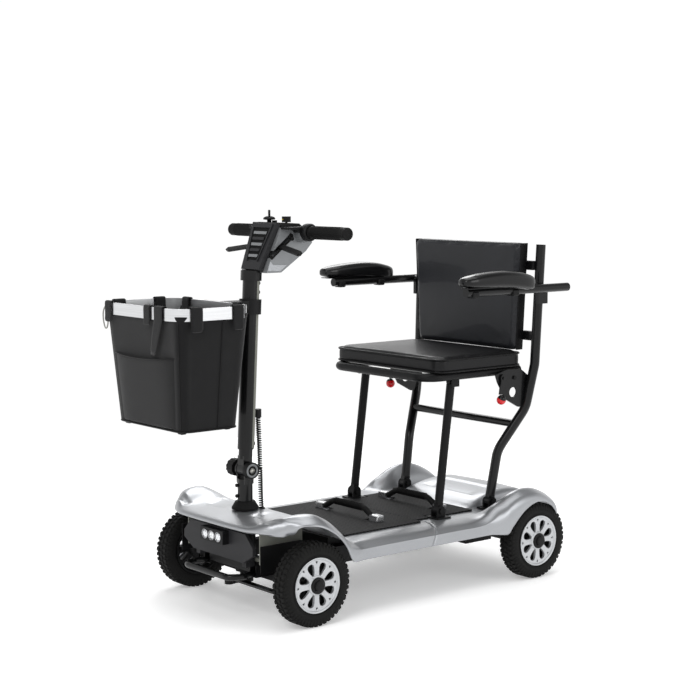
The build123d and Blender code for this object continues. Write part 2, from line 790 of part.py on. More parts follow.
key_y = front_axle_y + 76
key_x = -14.0
dial_x = 26.0
dial_y = front_axle_y + 98
horn_x = -30.0
horn_y = front_axle_y + 104
dash_z = 926.2
key_stem_radius = 4.0
dial_stem_radius = 3.0
horn_radius = 6.5
with BuildPart() as dash_panel:
    with BuildSketch(Plane.YZ.offset(-head_width / 2 + 3)):
        with BuildLine():
            Polyline(
                (front_axle_y + 63, dash_z),
                (front_axle_y + 68, 938),
                (front_axle_y + 120, 935),
                (front_axle_y + 131, dash_z),
                close=True,
            )
        make_face()
    extrude(amount=head_width - 6)
    with BuildSketch(Plane.XY.offset(dash_z + 2)):
        with Locations((key_x, key_y)):
            Circle(key_stem_radius + running)
        with Locations((dial_x, dial_y)):
            Circle(dial_stem_radius + running)
        with Locations((horn_x, horn_y)):
            Circle(horn_radius + running)
    extrude(amount=30, mode=Mode.SUBTRACT)
save(dash_panel.part, "dash_panel")

with BuildPart() as handlebar:
    with BuildSketch(Plane.YZ.offset(-grip_end_x + 4)):
        with Locations((grip_y, grip_z)):
            Circle(bar_radius)
            Circle(bar_radius - seat_tube_wall, mode=Mode.SUBTRACT)
    extrude(amount=2 * (grip_end_x - 4))
save(handlebar.part, "handlebar")

with BuildPart() as grips:
    for side in (-1, 1):
        with BuildSketch(Plane.YZ.offset(side * grip_start_x)):
            with Locations((grip_y, grip_z)):
                Circle(grip_radius)
        extrude(amount=side * (grip_end_x - grip_start_x))
        with BuildSketch(Plane.YZ.offset(side * grip_start_x)):
            with Locations((grip_y, grip_z)):
                Circle(bar_radius + running)
        extrude(amount=side * (grip_end_x - 4 - grip_start_x), mode=Mode.SUBTRACT)
save(grips.part, "grips")

lever_half_width = 6.0
with BuildPart() as throttle_lever:
    with BuildSketch(slot_plane.offset(-lever_thickness / 2)):
        Rectangle(116, 2 * lever_half_width)
        Circle(10)
        with BuildLine():
            Polyline((54, -6), (54, 6), (149, -15), (151, -24), (140, -26), close=True)
        make_face()
        mirror(about=Plane.YZ)
        Circle(lever_pin_radius + running, mode=Mode.SUBTRACT)
    extrude(amount=lever_thickness)
save(throttle_lever.part, "throttle_lever")

with BuildPart() as ignition_key:
    with BuildSketch(Plane.XY.offset(dash_z + 2.5)):
        with Locations((key_x, key_y)):
            Circle(key_stem_radius)
    extrude(amount=20)
    with BuildSketch(Plane.XY.offset(945)):
        with Locations((key_x, key_y)):
            Circle(13)
    extrude(amount=4)
    with BuildSketch(Plane.XZ.offset(-key_y)):
        with Locations((key_x, 958)):
            Rectangle(20, 19)
            Rectangle(9, 6, mode=Mode.SUBTRACT)
    extrude(amount=2.5, both=True)
save(ignition_key.part, "ignition_key")

with BuildPart() as speed_dial:
    with BuildSketch(Plane.XY.offset(dash_z + 2.5)):
        with Locations((dial_x, dial_y)):
            Circle(dial_stem_radius)
    extrude(amount=12)
    with BuildSketch(Plane.XY.offset(938)):
        with Locations((dial_x, dial_y)):
            Circle(11)
    extrude(amount=14)
save(speed_dial.part, "speed_dial")

horn_travel = 2.0
with BuildPart() as horn_button:
    with BuildSketch(Plane.XY.offset(dash_z + 2 + horn_travel + 0.2)):
        with Locations((horn_x, horn_y)):
            Circle(horn_radius)
    extrude(amount=11)
save(horn_button.part, "horn_button")

# =========================== basket ===========================

basket_middle_y = (basket_front_y + basket_rear_y) / 2
basket_depth = basket_rear_y - basket_front_y
floor_middle_y = (basket_floor_front_y + basket_floor_rear_y) / 2
floor_depth = basket_floor_rear_y - basket_floor_front_y
rim_band_top_z = rim_band_low_z + rim_band_height

with BuildPart() as basket_rim:
    with BuildSketch(Plane.XY.offset(rim_band_low_z)):
        with Locations((0, basket_middle_y)):
            RectangleRounded(2 * basket_half_width, basket_depth, basket_corner)
            RectangleRounded(
                2 * (basket_half_width - rim_band_thickness),
                basket_depth - 2 * rim_band_thickness,
                basket_corner - rim_band_thickness,
                mode=Mode.SUBTRACT,
            )
    extrude(amount=rim_band_height)
save(basket_rim.part, "basket_rim")

bag_top_inset = rim_band_thickness + 0.4


def bag_solid(wall, low_z):
    """The bag's tapered body, or its hollow when a wall is given."""
    top_inset = bag_top_inset + wall
    with BuildPart() as bag:
        with BuildSketch(Plane.XY.offset(low_z)):
            with Locations((0, floor_middle_y)):
                RectangleRounded(2 * (basket_floor_half_width - wall), floor_depth - 2 * wall, 30 - wall)
        with BuildSketch(Plane.XY.offset(rim_band_top_z)):
            with Locations((0, basket_middle_y)):
                RectangleRounded(
                    2 * (basket_half_width - top_inset), basket_depth - 2 * top_inset, basket_corner - top_inset
                )
        loft()
    return bag.part


with BuildPart() as basket_bag:
    add(bag_solid(0, basket_floor_z))
    add(bag_solid(bag_wall, basket_floor_z + bag_wall), mode=Mode.SUBTRACT)
save(basket_bag.part, "basket_bag")

clamp_height = 736.0 - knuckle_z
clamp_y = column_y + clamp_height * tan(radians(tiller_lean))
with BuildPart() as basket_bracket:
    with BuildSketch(tiller_level(clamp_height - 18)):
        Circle(27)
        Circle(sleeve_radius + running, mode=Mode.SUBTRACT)
    extrude(amount=36)
    bracket_low_z = rim_band_low_z + 3
    with Locations((0, (basket_rear_y + clamp_y) / 2, bracket_low_z + 11)):
        Box(40, clamp_y - basket_rear_y, 22)
    with Locations((0, basket_rear_y + 3, rim_band_low_z + 14)):
        Box(96, 6, 28)
    with BuildSketch(tiller_level(clamp_height - 60)):
        Circle(sleeve_radius + running)
    extrude(amount=120, mode=Mode.SUBTRACT)
save(basket_bracket.part, "basket_bracket")

# The curly cord's outer shape: a slack run from the cord clip down to the deck.
cord_radius = 6.5
cord_points = [
    (cord_x, cord_foot_y, front_crown_z - 3),
    (cord_x, cord_foot_y - 1, 292),
    (cord_x, cord_foot_y - 4, 348),
    (cord_x, cord_top_y + 3, 408),
    (cord_x, cord_top_y - 0.5, clip_z + 4),
]
with BuildPart() as curly_cord:
    with BuildLine() as cord_route:
        FilletPolyline(*cord_points, radius=[200, 200, 200])
    with BuildSketch(Plane(cord_route.line @ 0, z_dir=cord_route.line % 0)):
        Circle(cord_radius)
    sweep()
    for trim_z in (front_crown_z - 20, clip_z + 20):
        with Locations((cord_x, cord_foot_y, trim_z)):
            Box(40, 60, 40, mode=Mode.SUBTRACT)
save(curly_cord.part, "curly_cord")

# =========================== front suspension ===========================


def knuckle(side):
    """One steering knuckle: kingpin, yoke, stub axle and steering arm."""
    boss_half = kingpin_boss_height / 2
    yoke_x = kingpin_boss_radius + 1
    reach = boss_half + gap + yoke_thickness
    with BuildPart() as body:
        with BuildSketch(Plane.XY.offset(axle_z - reach)):
            with Locations((side * kingpin_x, front_axle_y)):
                Circle(kingpin_radius)
        extrude(amount=2 * reach)
        for low in (axle_z - reach, axle_z + boss_half + gap):
            with BuildSketch(Plane.XY.offset(low)):
                with Locations((side * kingpin_x, front_axle_y)):
                    Circle(kingpin_boss_radius - 1)
                with Locations((side * (kingpin_x + yoke_x / 2), front_axle_y)):
                    Rectangle(yoke_x, 22)
            extrude(amount=yoke_thickness)
        with Locations((side * (kingpin_x + yoke_x + 3), front_axle_y, axle_z)):
            Box(6, 22, 2 * reach)
        with BuildSketch(Plane.YZ.offset(side * (kingpin_x + yoke_x + 3))):
            with Locations((front_axle_y, axle_z)):
                Circle(stub_radius)
        extrude(amount=side * (wheel_middle_x + hub_half_width - kingpin_x - yoke_x - 3))
        with BuildSketch(Plane.XY.offset(steer_arm_low_z)):
            with Locations((side * kingpin_x, front_axle_y - pitman_length / 2)):
                Rectangle(16, pitman_length)
            with Locations((side * kingpin_x, front_axle_y - pitman_length)):
                Circle(11)
            with Locations((side * kingpin_x, front_axle_y - pitman_length)):
                Circle(pitman_pin_radius + open_pivot, mode=Mode.SUBTRACT)
        extrude(amount=yoke_thickness)
    return body.part


save(knuckle(1), "left_knuckle")
save(knuckle(-1), "right_knuckle")

rod_y = front_axle_y - pitman_length
with BuildPart() as tie_rod:
    with BuildSketch(Plane.XY.offset(rod_low_z)):
        with Locations((0, rod_y)):
            SlotOverall(2 * kingpin_x + 22, 18)
        with Locations((0, rod_y - 6)):
            Circle(16)
        with Locations((0, column_y - pitman_length)):
            Circle(pitman_pin_radius + running, mode=Mode.SUBTRACT)
    extrude(amount=rod_thickness)
    for side in (-1, 1):
        with BuildSketch(Plane.XY.offset(rod_low_z)):
            with Locations((side * kingpin_x, rod_y)):
                Circle(pitman_pin_radius)
        extrude(amount=rod_thickness + gap + 9)
save(tie_rod.part, "tie_rod")

# =========================== wheels ===========================


def tyre(side, axle_y):
    """A tyre of rounded section on its rim bed."""
    with BuildPart() as body:
        with BuildSketch(Plane.XZ):
            with Locations((0, (tyre_radius + rim_bed_radius) / 2)):
                RectangleRounded(tyre_width, tyre_radius - rim_bed_radius, 12)
        revolve(axis=Axis.X)
    return Pos(side * wheel_middle_x, axle_y, axle_z) * body.part


def rim(side, driven):
    """A spoked rim with its hub, its half shaft if it is driven, and the hub cap as a second solid."""
    with BuildPart() as body:
        with BuildSketch(Plane.YZ.offset(-tyre_width / 2 + 3)):
            Circle(rim_bed_radius - 0.1)
            Circle(rim_bed_radius - 6, mode=Mode.SUBTRACT)
        extrude(amount=tyre_width - 6)
        with BuildSketch(Plane.YZ.offset(-hub_half_width)):
            Circle(hub_radius)
        extrude(amount=2 * hub_half_width)
        with BuildSketch(Plane.YZ.offset(8)):
            with PolarLocations(0, spoke_count):
                with Locations((rim_bed_radius / 2, 0)):
                    Rectangle(rim_bed_radius - 6, spoke_width)
        extrude(amount=10)
        with BuildSketch(Plane.YZ.offset(-hub_half_width)):
            Circle(stub_radius if driven else stub_radius + running)
        if driven:
            extrude(amount=hub_half_width + half_shaft_inner_x + 4 - wheel_middle_x)
        else:
            extrude(amount=2 * hub_half_width + 1, mode=Mode.SUBTRACT)
        with BuildSketch(Plane.YZ.offset(hub_half_width + 0.1)):
            Circle(cap_radius)
        extrude(amount=cap_reach - hub_half_width)
    return body.part if side > 0 else mirrored(body.part)


wheel_places = {
    "front_left": (1, front_axle_y),
    "front_right": (-1, front_axle_y),
    "rear_left": (1, rear_axle_y),
    "rear_right": (-1, rear_axle_y),
}
for wheel_name, (side, axle_y) in wheel_places.items():
    save(tyre(side, axle_y), f"{wheel_name}_tyre")
    save(Pos(side * wheel_middle_x, axle_y, axle_z) * rim(side, axle_y == rear_axle_y), f"{wheel_name}_rim")

# =========================== seat ===========================

top_pin_y = leg_foot_y + leg_lean_y
back_pin_y = rear_foot_y + leg_lean_y
top_pin_z = foot_z + leg_rise


def eye(x, y, z, radius, bore, half):
    """A round eye across the scooter with a bore for its pin."""
    with BuildPart() as ring:
        with BuildSketch(Plane.YZ.offset(x - half)):
            with Locations((y, z)):
                Circle(radius)
                Circle(bore, mode=Mode.SUBTRACT)
        extrude(amount=2 * half)
    return ring.part


with BuildPart() as front_legs:
    for side in (-1, 1):
        foot = Vector(side * leg_x, leg_foot_y, foot_z)
        top = Vector(side * leg_x, top_pin_y, top_pin_z)
        along = (top - foot).normalized()
        with BuildSketch(Plane(foot + along * neck_length, z_dir=along)):
            Circle(tube_radius)
        extrude(amount=(top - foot).length - neck_length - top_eye_radius + 3)
        with BuildSketch(Plane(foot + along * (foot_eye_radius - 4), x_dir=(1, 0, 0), z_dir=along)):
            Rectangle(2 * eye_half_thickness, 2 * tube_radius - 4)
        extrude(amount=neck_length - foot_eye_radius + 6)
        add(eye(foot.X, foot.Y, foot.Z, foot_eye_radius, foot_pin_radius + running, eye_half_thickness))
        add(eye(top.X, top.Y, top.Z, top_eye_radius, foot_pin_radius + open_pivot, eye_half_thickness))
save(front_legs.part, "front_legs")

back_lean = Vector(0, front_axle_y + 678 - rear_foot_y, 333 - foot_z).normalized()
back_route = [
    (leg_x, rear_foot_y + back_lean.Y * neck_length, foot_z + back_lean.Z * neck_length),
    (leg_x + 6, front_axle_y + 678, 333),
    (leg_x + 46, front_axle_y + 740, 446),
    (leg_x + 58, front_axle_y + 760, 560),
    (leg_x + 63, front_axle_y + 773, 872),
]
plate_outline = [(638, 520), (630, 540), (672, 551), (722, 549), (764, 520), (742, 446), (712, 450), (666, 474)]
back_tube = bent_tube(back_route, [90, 90, 90], back_tube_radius, seat_tube_wall)
cross_tube_z = 403.0
cross_tube_y = front_axle_y + 716
with BuildPart() as rear_seat_frame:
    add(back_tube)
    add(mirrored(back_tube))
    with BuildSketch(Plane.YZ.offset(-192)):
        with Locations((cross_tube_y, cross_tube_z)):
            Circle(10)
    extrude(amount=384)
    for side in (-1, 1):
        add(eye(side * leg_x, rear_foot_y, foot_z, foot_eye_radius, foot_pin_radius + running, eye_half_thickness))
        neck_foot = Vector(side * leg_x, rear_foot_y, foot_z) + back_lean * (foot_eye_radius - 4)
        with BuildSketch(Plane(neck_foot, x_dir=(1, 0, 0), z_dir=back_lean)):
            Rectangle(2 * eye_half_thickness, 2 * back_tube_radius - 4)
        extrude(amount=neck_length - foot_eye_radius + 6)
        with BuildSketch(Plane.YZ.offset(side * plate_inner_x)):
            with BuildLine():
                Polyline(*[(front_axle_y + y, z) for y, z in plate_outline], close=True)
            make_face()
            with Locations((back_pin_y, top_pin_z)):
                Circle(foot_pin_radius + 1 + running, mode=Mode.SUBTRACT)
            with Locations((front_axle_y + 694, 490)):
                Circle(13, mode=Mode.SUBTRACT)
        extrude(amount=side * plate_thickness)
        with BuildSketch(Plane.YZ.offset(side * (plate_inner_x + plate_thickness - 1))):
            with Locations((latch_pivot_y, latch_pivot_z)):
                Circle(foot_pin_radius)
        extrude(amount=side * 9)
        with BuildSketch(Plane.YZ.offset(side * (leg_x + 60))):
            with Locations((arm_pivot_y, arm_pivot_z)):
                Circle(8)
        extrude(amount=side * (arm_bar_x - leg_x - 60))
        with BuildSketch(Plane.YZ.offset(side * (leg_x + 66))):
            with Locations((arm_pivot_y, arm_pivot_z - 20)):
                Rectangle(34, 44)
        extrude(amount=side * 10)
        for strap_z in (back_pad_low_z + 40, back_pad_high_z - 60):
            with Locations((side * 206, back_pad_front_y + back_pad_thickness + 7, strap_z)):
                Box(40, 14, 24)
save(rear_seat_frame.part, "rear_seat_frame")

with BuildPart() as backrest_pad:
    pad_middle_y = back_pad_front_y + back_pad_thickness / 2
    with Locations((0, pad_middle_y, (back_pad_low_z + back_pad_high_z) / 2)):
        Box(2 * back_pad_half_width, back_pad_thickness, back_pad_high_z - back_pad_low_z)
    fillet(backrest_pad.edges().filter_by(Axis.Y), 14)
    fillet(backrest_pad.faces().sort_by(Axis.Y)[0].edges(), 11)
save(backrest_pad.part, "backrest_pad")

pan_route = [
    (-pan_tube_x, pan_rear_y, pan_z),
    (-pan_tube_x, pan_front_y, pan_z),
    (pan_tube_x, pan_front_y, pan_z),
    (pan_tube_x, pan_rear_y, pan_z),
]
lug_x = 183.0
with BuildPart() as seat_pan_frame:
    add(bent_tube(pan_route, [45, 45], tube_radius, seat_tube_wall))
    with BuildSketch(Plane.YZ.offset(-pan_tube_x + 4)):
        with Locations((pan_rear_y - 12, pan_z)):
            Circle(tube_radius - 1)
    extrude(amount=2 * pan_tube_x - 8)
    for side in (-1, 1):
        for pin_y in (top_pin_y, back_pin_y):
            with Locations((side * (lug_x + 2), pin_y, (top_pin_z + pan_z) / 2 - 9)):
                Box(4, 24, pan_z - top_pin_z + 6)
        with BuildSketch(Plane.YZ.offset(side * (lug_x + 2))):
            with Locations((top_pin_y, top_pin_z)):
                Circle(foot_pin_radius)
        extrude(amount=-side * 26)
        with BuildSketch(Plane.YZ.offset(side * (lug_x + 2))):
            with Locations((back_pin_y, top_pin_z)):
                Circle(foot_pin_radius + 1)
        extrude(amount=side * (plate_inner_x + plate_thickness + 4 - lug_x - 2))
save(seat_pan_frame.part, "seat_pan_frame")

with BuildPart() as seat_cushion:
    cushion_depth = cushion_rear_y - cushion_front_y
    with Locations((0, (cushion_front_y + cushion_rear_y) / 2, cushion_low_z + cushion_height / 2)):
        Box(2 * cushion_half_width, cushion_depth, cushion_height)
    fillet(seat_cushion.edges().filter_by(Axis.Z), 26)
    # The top steps down where the backrest stands over it, and the rider's seat is the face before that.
    with Locations((0, cushion_rear_y - 10, cushion_low_z + cushion_height)):
        Box(2 * cushion_half_width + 2, 22, 6, mode=Mode.SUBTRACT)
save(seat_cushion.part, "seat_cushion")

arm_bar_z = arm_pivot_z
with BuildPart() as arm_bar:
    with BuildSketch(Plane.XZ.offset(-arm_bar_front_y)):
        with Locations((arm_bar_x, arm_bar_z)):
            Circle(tube_radius)
    extrude(amount=arm_bar_front_y - arm_bar_rear_y)
    with BuildSketch(Plane.YZ.offset(arm_bar_x - 20)):
        with Locations((arm_pivot_y, arm_pivot_z)):
            Circle(8 + running)
    extrude(amount=20, mode=Mode.SUBTRACT)
    with Locations((arm_pad_x, arm_pad_front_y + arm_pad_length / 2, arm_pad_low_z - 1.1)):
        Box(36, arm_pad_length - 40, 2.2)
save(arm_bar.part, "left_armrest_bar")
save(mirrored(arm_bar.part), "right_armrest_bar")

with BuildPart() as arm_pad:
    with BuildSketch(Plane.XY.offset(arm_pad_low_z)):
        with Locations((arm_pad_x, arm_pad_front_y + arm_pad_length / 2)):
            SlotOverall(arm_pad_length, 2 * arm_pad_half_width, rotation=90)
    extrude(amount=arm_pad_height)
save(arm_pad.part, "left_armrest_pad")
save(mirrored(arm_pad.part), "right_armrest_pad")

latch_ball_y = front_axle_y + 646
latch_ball_z = 480.0
latch_inner_x = plate_inner_x + plate_thickness + gap
with BuildPart() as latch:
    with BuildSketch(Plane.YZ.offset(latch_inner_x)):
        with Locations((latch_pivot_y, latch_pivot_z)):
            Circle(10)
        with BuildLine():
            Polyline(
                (latch_pivot_y - 8, latch_pivot_z),
                (latch_pivot_y + 8, latch_pivot_z),
                (latch_ball_y + 5, latch_ball_z + 8),
                (latch_ball_y - 5, latch_ball_z + 8),
                close=True,
            )
        make_face()
        with Locations((latch_pivot_y, latch_pivot_z)):
            Circle(foot_pin_radius + running, mode=Mode.SUBTRACT)
    extrude(amount=5)
    with Locations((latch_inner_x + 6, latch_ball_y, latch_ball_z - 4)):
        Sphere(latch_ball_radius)
save(latch.part, "left_latch")
save(mirrored(latch.part), "right_latch")
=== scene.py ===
"""Looks of a four-wheel mobility scooter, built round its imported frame. Metres, front towards -Y."""
import math

import bmesh
import bpy
from mathutils import Matrix, Vector
from mathutils.noise import noise


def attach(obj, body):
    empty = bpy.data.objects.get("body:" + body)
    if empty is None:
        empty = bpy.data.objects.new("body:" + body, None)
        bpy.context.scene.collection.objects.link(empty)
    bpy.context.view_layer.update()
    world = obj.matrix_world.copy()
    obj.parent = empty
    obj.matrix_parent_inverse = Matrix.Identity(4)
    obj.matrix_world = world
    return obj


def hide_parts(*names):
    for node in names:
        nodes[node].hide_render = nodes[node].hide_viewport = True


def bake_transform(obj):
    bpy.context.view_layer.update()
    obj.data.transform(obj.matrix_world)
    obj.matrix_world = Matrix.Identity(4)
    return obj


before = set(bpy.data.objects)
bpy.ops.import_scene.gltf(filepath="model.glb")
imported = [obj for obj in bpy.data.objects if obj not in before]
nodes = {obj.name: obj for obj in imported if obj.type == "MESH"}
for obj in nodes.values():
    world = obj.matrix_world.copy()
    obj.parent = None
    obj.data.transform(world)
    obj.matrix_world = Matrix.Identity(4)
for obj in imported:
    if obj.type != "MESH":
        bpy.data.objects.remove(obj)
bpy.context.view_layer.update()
front_axle = -0.272


def at(x, y, z):
    """A place in millimetres, with y counted behind the front axle."""
    return Vector((x / 1000, y / 1000 + front_axle, z / 1000))


# ---------------------------------------------------------------- materials

def linear(text):
    """An sRGB hex colour as linear RGBA."""
    parts = [int(text[i:i + 2], 16) / 255 for i in (0, 2, 4)]
    return [c / 12.92 if c <= 0.04045 else ((c + 0.055) / 1.055) ** 2.4 for c in parts] + [1.0]


def put(tree, kind, sockets=(), **settings):
    """Adds a node with its settings, and sets or links its inputs."""
    made = tree.nodes.new(kind)
    for name, value in settings.items():
        setattr(made, name, value)
    for name, value in dict(sockets).items():
        if isinstance(value, bpy.types.NodeSocket):
            tree.links.new(value, made.inputs[name])
        else:
            made.inputs[name].default_value = value
    return made


def finish_of(name, colour, **sockets):
    """A new material: its tree, its shader, and object coordinates in metres."""
    material = bpy.data.materials.new(name)
    material.use_nodes = True
    tree = material.node_tree
    shader = tree.nodes["Principled BSDF"]
    shader.inputs["Base Color"].default_value = linear(colour)
    for socket, value in {"Specular_IOR_Level": 0.17, **sockets}.items():
        shader.inputs[socket.replace("_", " ")].default_value = value
    where = put(tree, "ShaderNodeTexCoord").outputs["Object"]
    return material, tree, shader, where


def tint(tree, shader, factor, dark, light):
    """Varies the base colour between two hex colours by a 0 to 1 value."""
    ramp = put(tree, "ShaderNodeMix", {"Factor": factor}, data_type="RGBA")
    ramp.inputs["A"].default_value = linear(dark)
    ramp.inputs["B"].default_value = linear(light)
    tree.links.new(ramp.outputs["Result"], shader.inputs["Base Color"])


def raise_by(tree, shader, height, depth_mm, strength=1.0):
    """Bumps the surface by a 0 to 1 height of that many millimetres."""
    bump = put(tree, "ShaderNodeBump", {"Height": height, "Distance": depth_mm / 1000, "Strength": strength})
    tree.links.new(bump.outputs["Normal"], shader.inputs["Normal"])


def grained(name, colour, light, grain_mm, depth_mm, **sockets):
    """A moulded or painted surface with a fine even grain and a faint blotch."""
    material, tree, shader, where = finish_of(name, colour, **sockets)
    grain = put(tree, "ShaderNodeTexNoise", {"Vector": where, "Scale": 1000 / grain_mm, "Detail": 3.0})
    blotch = put(tree, "ShaderNodeTexNoise", {"Vector": where, "Scale": 14.0, "Detail": 4.0})
    tint(tree, shader, blotch.outputs["Fac"], colour, light)
    raise_by(tree, shader, grain.outputs["Fac"], depth_mm)
    return material


def woven(name, dark, light, thread_mm, **sockets):
    """Plain woven cloth: warp and weft as two sets of waves that take turns on top, with painted shade where the weave
    dips.
    """
    material, tree, shader, where = finish_of(name, dark, **sockets)
    split = put(tree, "ShaderNodeSeparateXYZ", {"Vector": where})
    side = put(tree, "ShaderNodeMath", {0: split.outputs["X"], 1: split.outputs["Y"]}, operation="ADD")
    turns = math.pi * 1000 / thread_mm
    waves = []
    for source in (side.outputs[0], split.outputs["Z"]):
        scaled = put(tree, "ShaderNodeMath", {0: source, 1: turns}, operation="MULTIPLY")
        wave = put(tree, "ShaderNodeMath", {0: scaled.outputs[0]}, operation="SINE")
        waves.append(wave.outputs[0])
    cross = put(tree, "ShaderNodeMath", {0: waves[0], 1: waves[1]}, operation="MULTIPLY")
    height = put(tree, "ShaderNodeMath", {0: cross.outputs[0], 1: 0.5, 2: 0.5}, operation="MULTIPLY_ADD")
    blotch = put(tree, "ShaderNodeTexNoise", {"Vector": where, "Scale": 30.0, "Detail": 5.0})
    # Colour: painted shade, darker where the weave dips between threads, times a random blotch of tone.
    thread_shade_and_blotch = put(tree, "ShaderNodeMath", {0: height.outputs[0], 1: blotch.outputs["Fac"]}, operation="MULTIPLY")
    tint(tree, shader, thread_shade_and_blotch.outputs[0], dark, light)
    raise_by(tree, shader, height.outputs[0], thread_mm * 0.25)
    return material


def leathery(name, dark, light, cell_mm, depth_mm, **sockets):
    """Embossed vinyl: rounded cells with creases between them."""
    material, tree, shader, where = finish_of(name, dark, **sockets)
    cells = put(tree, "ShaderNodeTexVoronoi", {"Vector": where, "Scale": 1000 / cell_mm}, feature="SMOOTH_F1")
    blotch = put(tree, "ShaderNodeTexNoise", {"Vector": where, "Scale": 9.0, "Detail": 3.0})
    tint(tree, shader, blotch.outputs["Fac"], dark, light)
    raise_by(tree, shader, cells.outputs["Distance"], depth_mm, 0.6)
    return material


# Metallic lacquer over moulded ABS: fine flakes under a clear coat, so highlights are soft and wide.
silver_lacquer, tree, shader, where = finish_of(
    "metallic_lacquer_on_abs", "B6B8BB", Metallic=0.72, Roughness=0.34, Coat_Weight=0.35, Coat_Roughness=0.12)
flakes = put(tree, "ShaderNodeTexVoronoi", {"Vector": where, "Scale": 900.0})
cloud = put(tree, "ShaderNodeTexNoise", {"Vector": where, "Scale": 6.0, "Detail": 2.0})
tint(tree, shader, put(tree, "ShaderNodeMath", {0: flakes.outputs["Distance"], 1: cloud.outputs["Fac"]},
     operation="MULTIPLY").outputs[0], "A6A8AB", "8C8E92")
raise_by(tree, shader, flakes.outputs["Distance"], 0.02, 0.4)

# Powder coat on welded steel: an orange-peel skin that breaks up reflections.
powder_coat = grained("powder_coated_steel", "0B0B0C", "111112", 1.6, 0.05, Roughness=0.46, IOR=1.5)
# Stoved enamel on bent tube: smoother and glossier than the chassis.
stoved_enamel = grained("stoved_enamel_on_tube", "080809", "0D0D0E", 3.0, 0.02,
                       Roughness=0.3, IOR=1.52, Coat_Weight=0.25)
# Spark-eroded mould grain on ABS: dull dark grey with soft highlights.
grey_abs = grained("moulded_grey_abs", "232325", "2B2B2D", 0.9, 0.04, Roughness=0.5, IOR=1.53)
black_abs = grained("moulded_black_abs", "0D0D0E", "131314", 0.9, 0.04, Roughness=0.48, IOR=1.53)
head_silver = grained("painted_grey_abs", "77797B", "838587", 1.2, 0.03,
                     Metallic=0.35, Roughness=0.42, Coat_Weight=0.15)
pale_abs = grained("natural_grey_polypropylene", "75766F", "82837C", 1.5, 0.04, Roughness=0.55)
soft_rubber = grained("moulded_soft_rubber", "0B0B0B", "111111", 1.1, 0.06, Roughness=0.68, IOR=1.52)
cord_jacket = grained("pvc_cord_jacket", "0F0F10", "171718", 1.5, 0.02, Roughness=0.42, IOR=1.53)
cast_metal = grained("painted_casting", "131314", "1B1B1C", 2.2, 0.15, Roughness=0.6)
arm_skin = leathery("integral_skin_foam", "09090A", "0E0E0F", 2.6, 0.05, Roughness=0.3, IOR=1.5, Coat_Weight=0.3)
seat_vinyl = leathery("embossed_vinyl", "0C0C0D", "131315", 1.9, 0.12, Roughness=0.44, IOR=1.5, Coat_Weight=0.12)
back_vinyl = leathery("smooth_grey_vinyl", "1D1E20", "25262A", 1.7, 0.08, Roughness=0.42, IOR=1.5, Coat_Weight=0.15)
piping_vinyl = leathery("vinyl_piping", "070708", "0B0B0C", 1.2, 0.05, Roughness=0.36, IOR=1.5)
oxford_cloth = woven("oxford_polyester", "0A0A0B", "151517", 1.4,
                     Roughness=0.86, Sheen_Weight=0.18, Sheen_Roughness=0.5)
webbing = woven("polyester_webbing", "0A0A0B", "1A1A1C", 2.2, Roughness=0.8, Sheen_Weight=0.15, Sheen_Roughness=0.5)
zinc_plate = grained("zinc_plated_steel", "9C9C98", "B2B1AB", 1.0, 0.02, Metallic=1.0, Roughness=0.36)
chrome_cap = grained("satin_chrome_on_abs", "C9CACC", "D6D7D9", 2.0, 0.01, Metallic=0.9, Roughness=0.22)
wheel_lacquer = grained("silver_wheel_lacquer", "B4B6B9", "C2C4C6", 1.4, 0.03,
                       Metallic=0.55, Roughness=0.36, Coat_Weight=0.3)
red_knob = grained("moulded_red_phenolic", "C20D16", "D01A20", 4.0, 0.01, Roughness=0.16, IOR=1.6, Coat_Weight=0.5)
horn_cap = grained("moulded_yellow_cap", "B8A21A", "C9B32A", 3.0, 0.01, Roughness=0.35)

# Tyre rubber: carbon-black rubber, dusty in the grooves.
tyre_rubber, tree, shader, where = finish_of("vulcanised_tyre_rubber", "151515", Roughness=0.72, IOR=1.52)
dust = put(tree, "ShaderNodeTexNoise", {"Vector": where, "Scale": 60.0, "Detail": 6.0})
tint(tree, shader, dust.outputs["Fac"], "0A0A0A", "161615")
raise_by(tree, shader, dust.outputs["Fac"], 0.25, 0.6)

# Floor mat: moulded rubber with a raised diamond grid of 11 mm pitch, wide enough to show, with painted shade in the
# grooves and the raised tops painted lighter.
mat_rubber, tree, shader, where = finish_of("moulded_mat_rubber", "161616", Roughness=0.66, IOR=1.52)
split = put(tree, "ShaderNodeSeparateXYZ", {"Vector": where})
lines = []
for sign in ("ADD", "SUBTRACT"):
    slant = put(tree, "ShaderNodeMath", {0: split.outputs["X"], 1: split.outputs["Y"]}, operation=sign)
    turn = put(tree, "ShaderNodeMath", {0: slant.outputs[0], 1: math.pi * 1000 / 11.0}, operation="MULTIPLY")
    lines.append(put(tree, "ShaderNodeMath", {0: turn.outputs[0]}, operation="SINE").outputs[0])
grid = put(tree, "ShaderNodeMath", {0: lines[0], 1: lines[1]}, operation="MULTIPLY")
stud_height_and_groove_shade = put(tree, "ShaderNodeMapRange", {"Value": grid.outputs[0], "From Min": -0.35, "From Max": 0.35})
# Painted shade: the grooves between the diamonds darker, the raised tops lighter.
tint(tree, shader, stud_height_and_groove_shade.outputs["Result"], "060606", "1E1E1F")
raise_by(tree, shader, stud_height_and_groove_shade.outputs["Result"], 1.0)

# Anodised aluminium strip: drawn along its length, so streaks run round the rim.
anodised, tree, shader, where = finish_of("anodised_aluminium", "DCDDDE", Metallic=1.0, Roughness=0.28)
stretch = put(tree, "ShaderNodeMapping", {"Vector": where, "Scale": (8.0, 8.0, 900.0)})
streaks = put(tree, "ShaderNodeTexNoise", {"Vector": stretch.outputs["Vector"], "Scale": 1.0, "Detail": 2.0})
tint(tree, shader, streaks.outputs["Fac"], "C9CACC", "EDEEEF")
raise_by(tree, shader, streaks.outputs["Fac"], 0.02, 0.5)

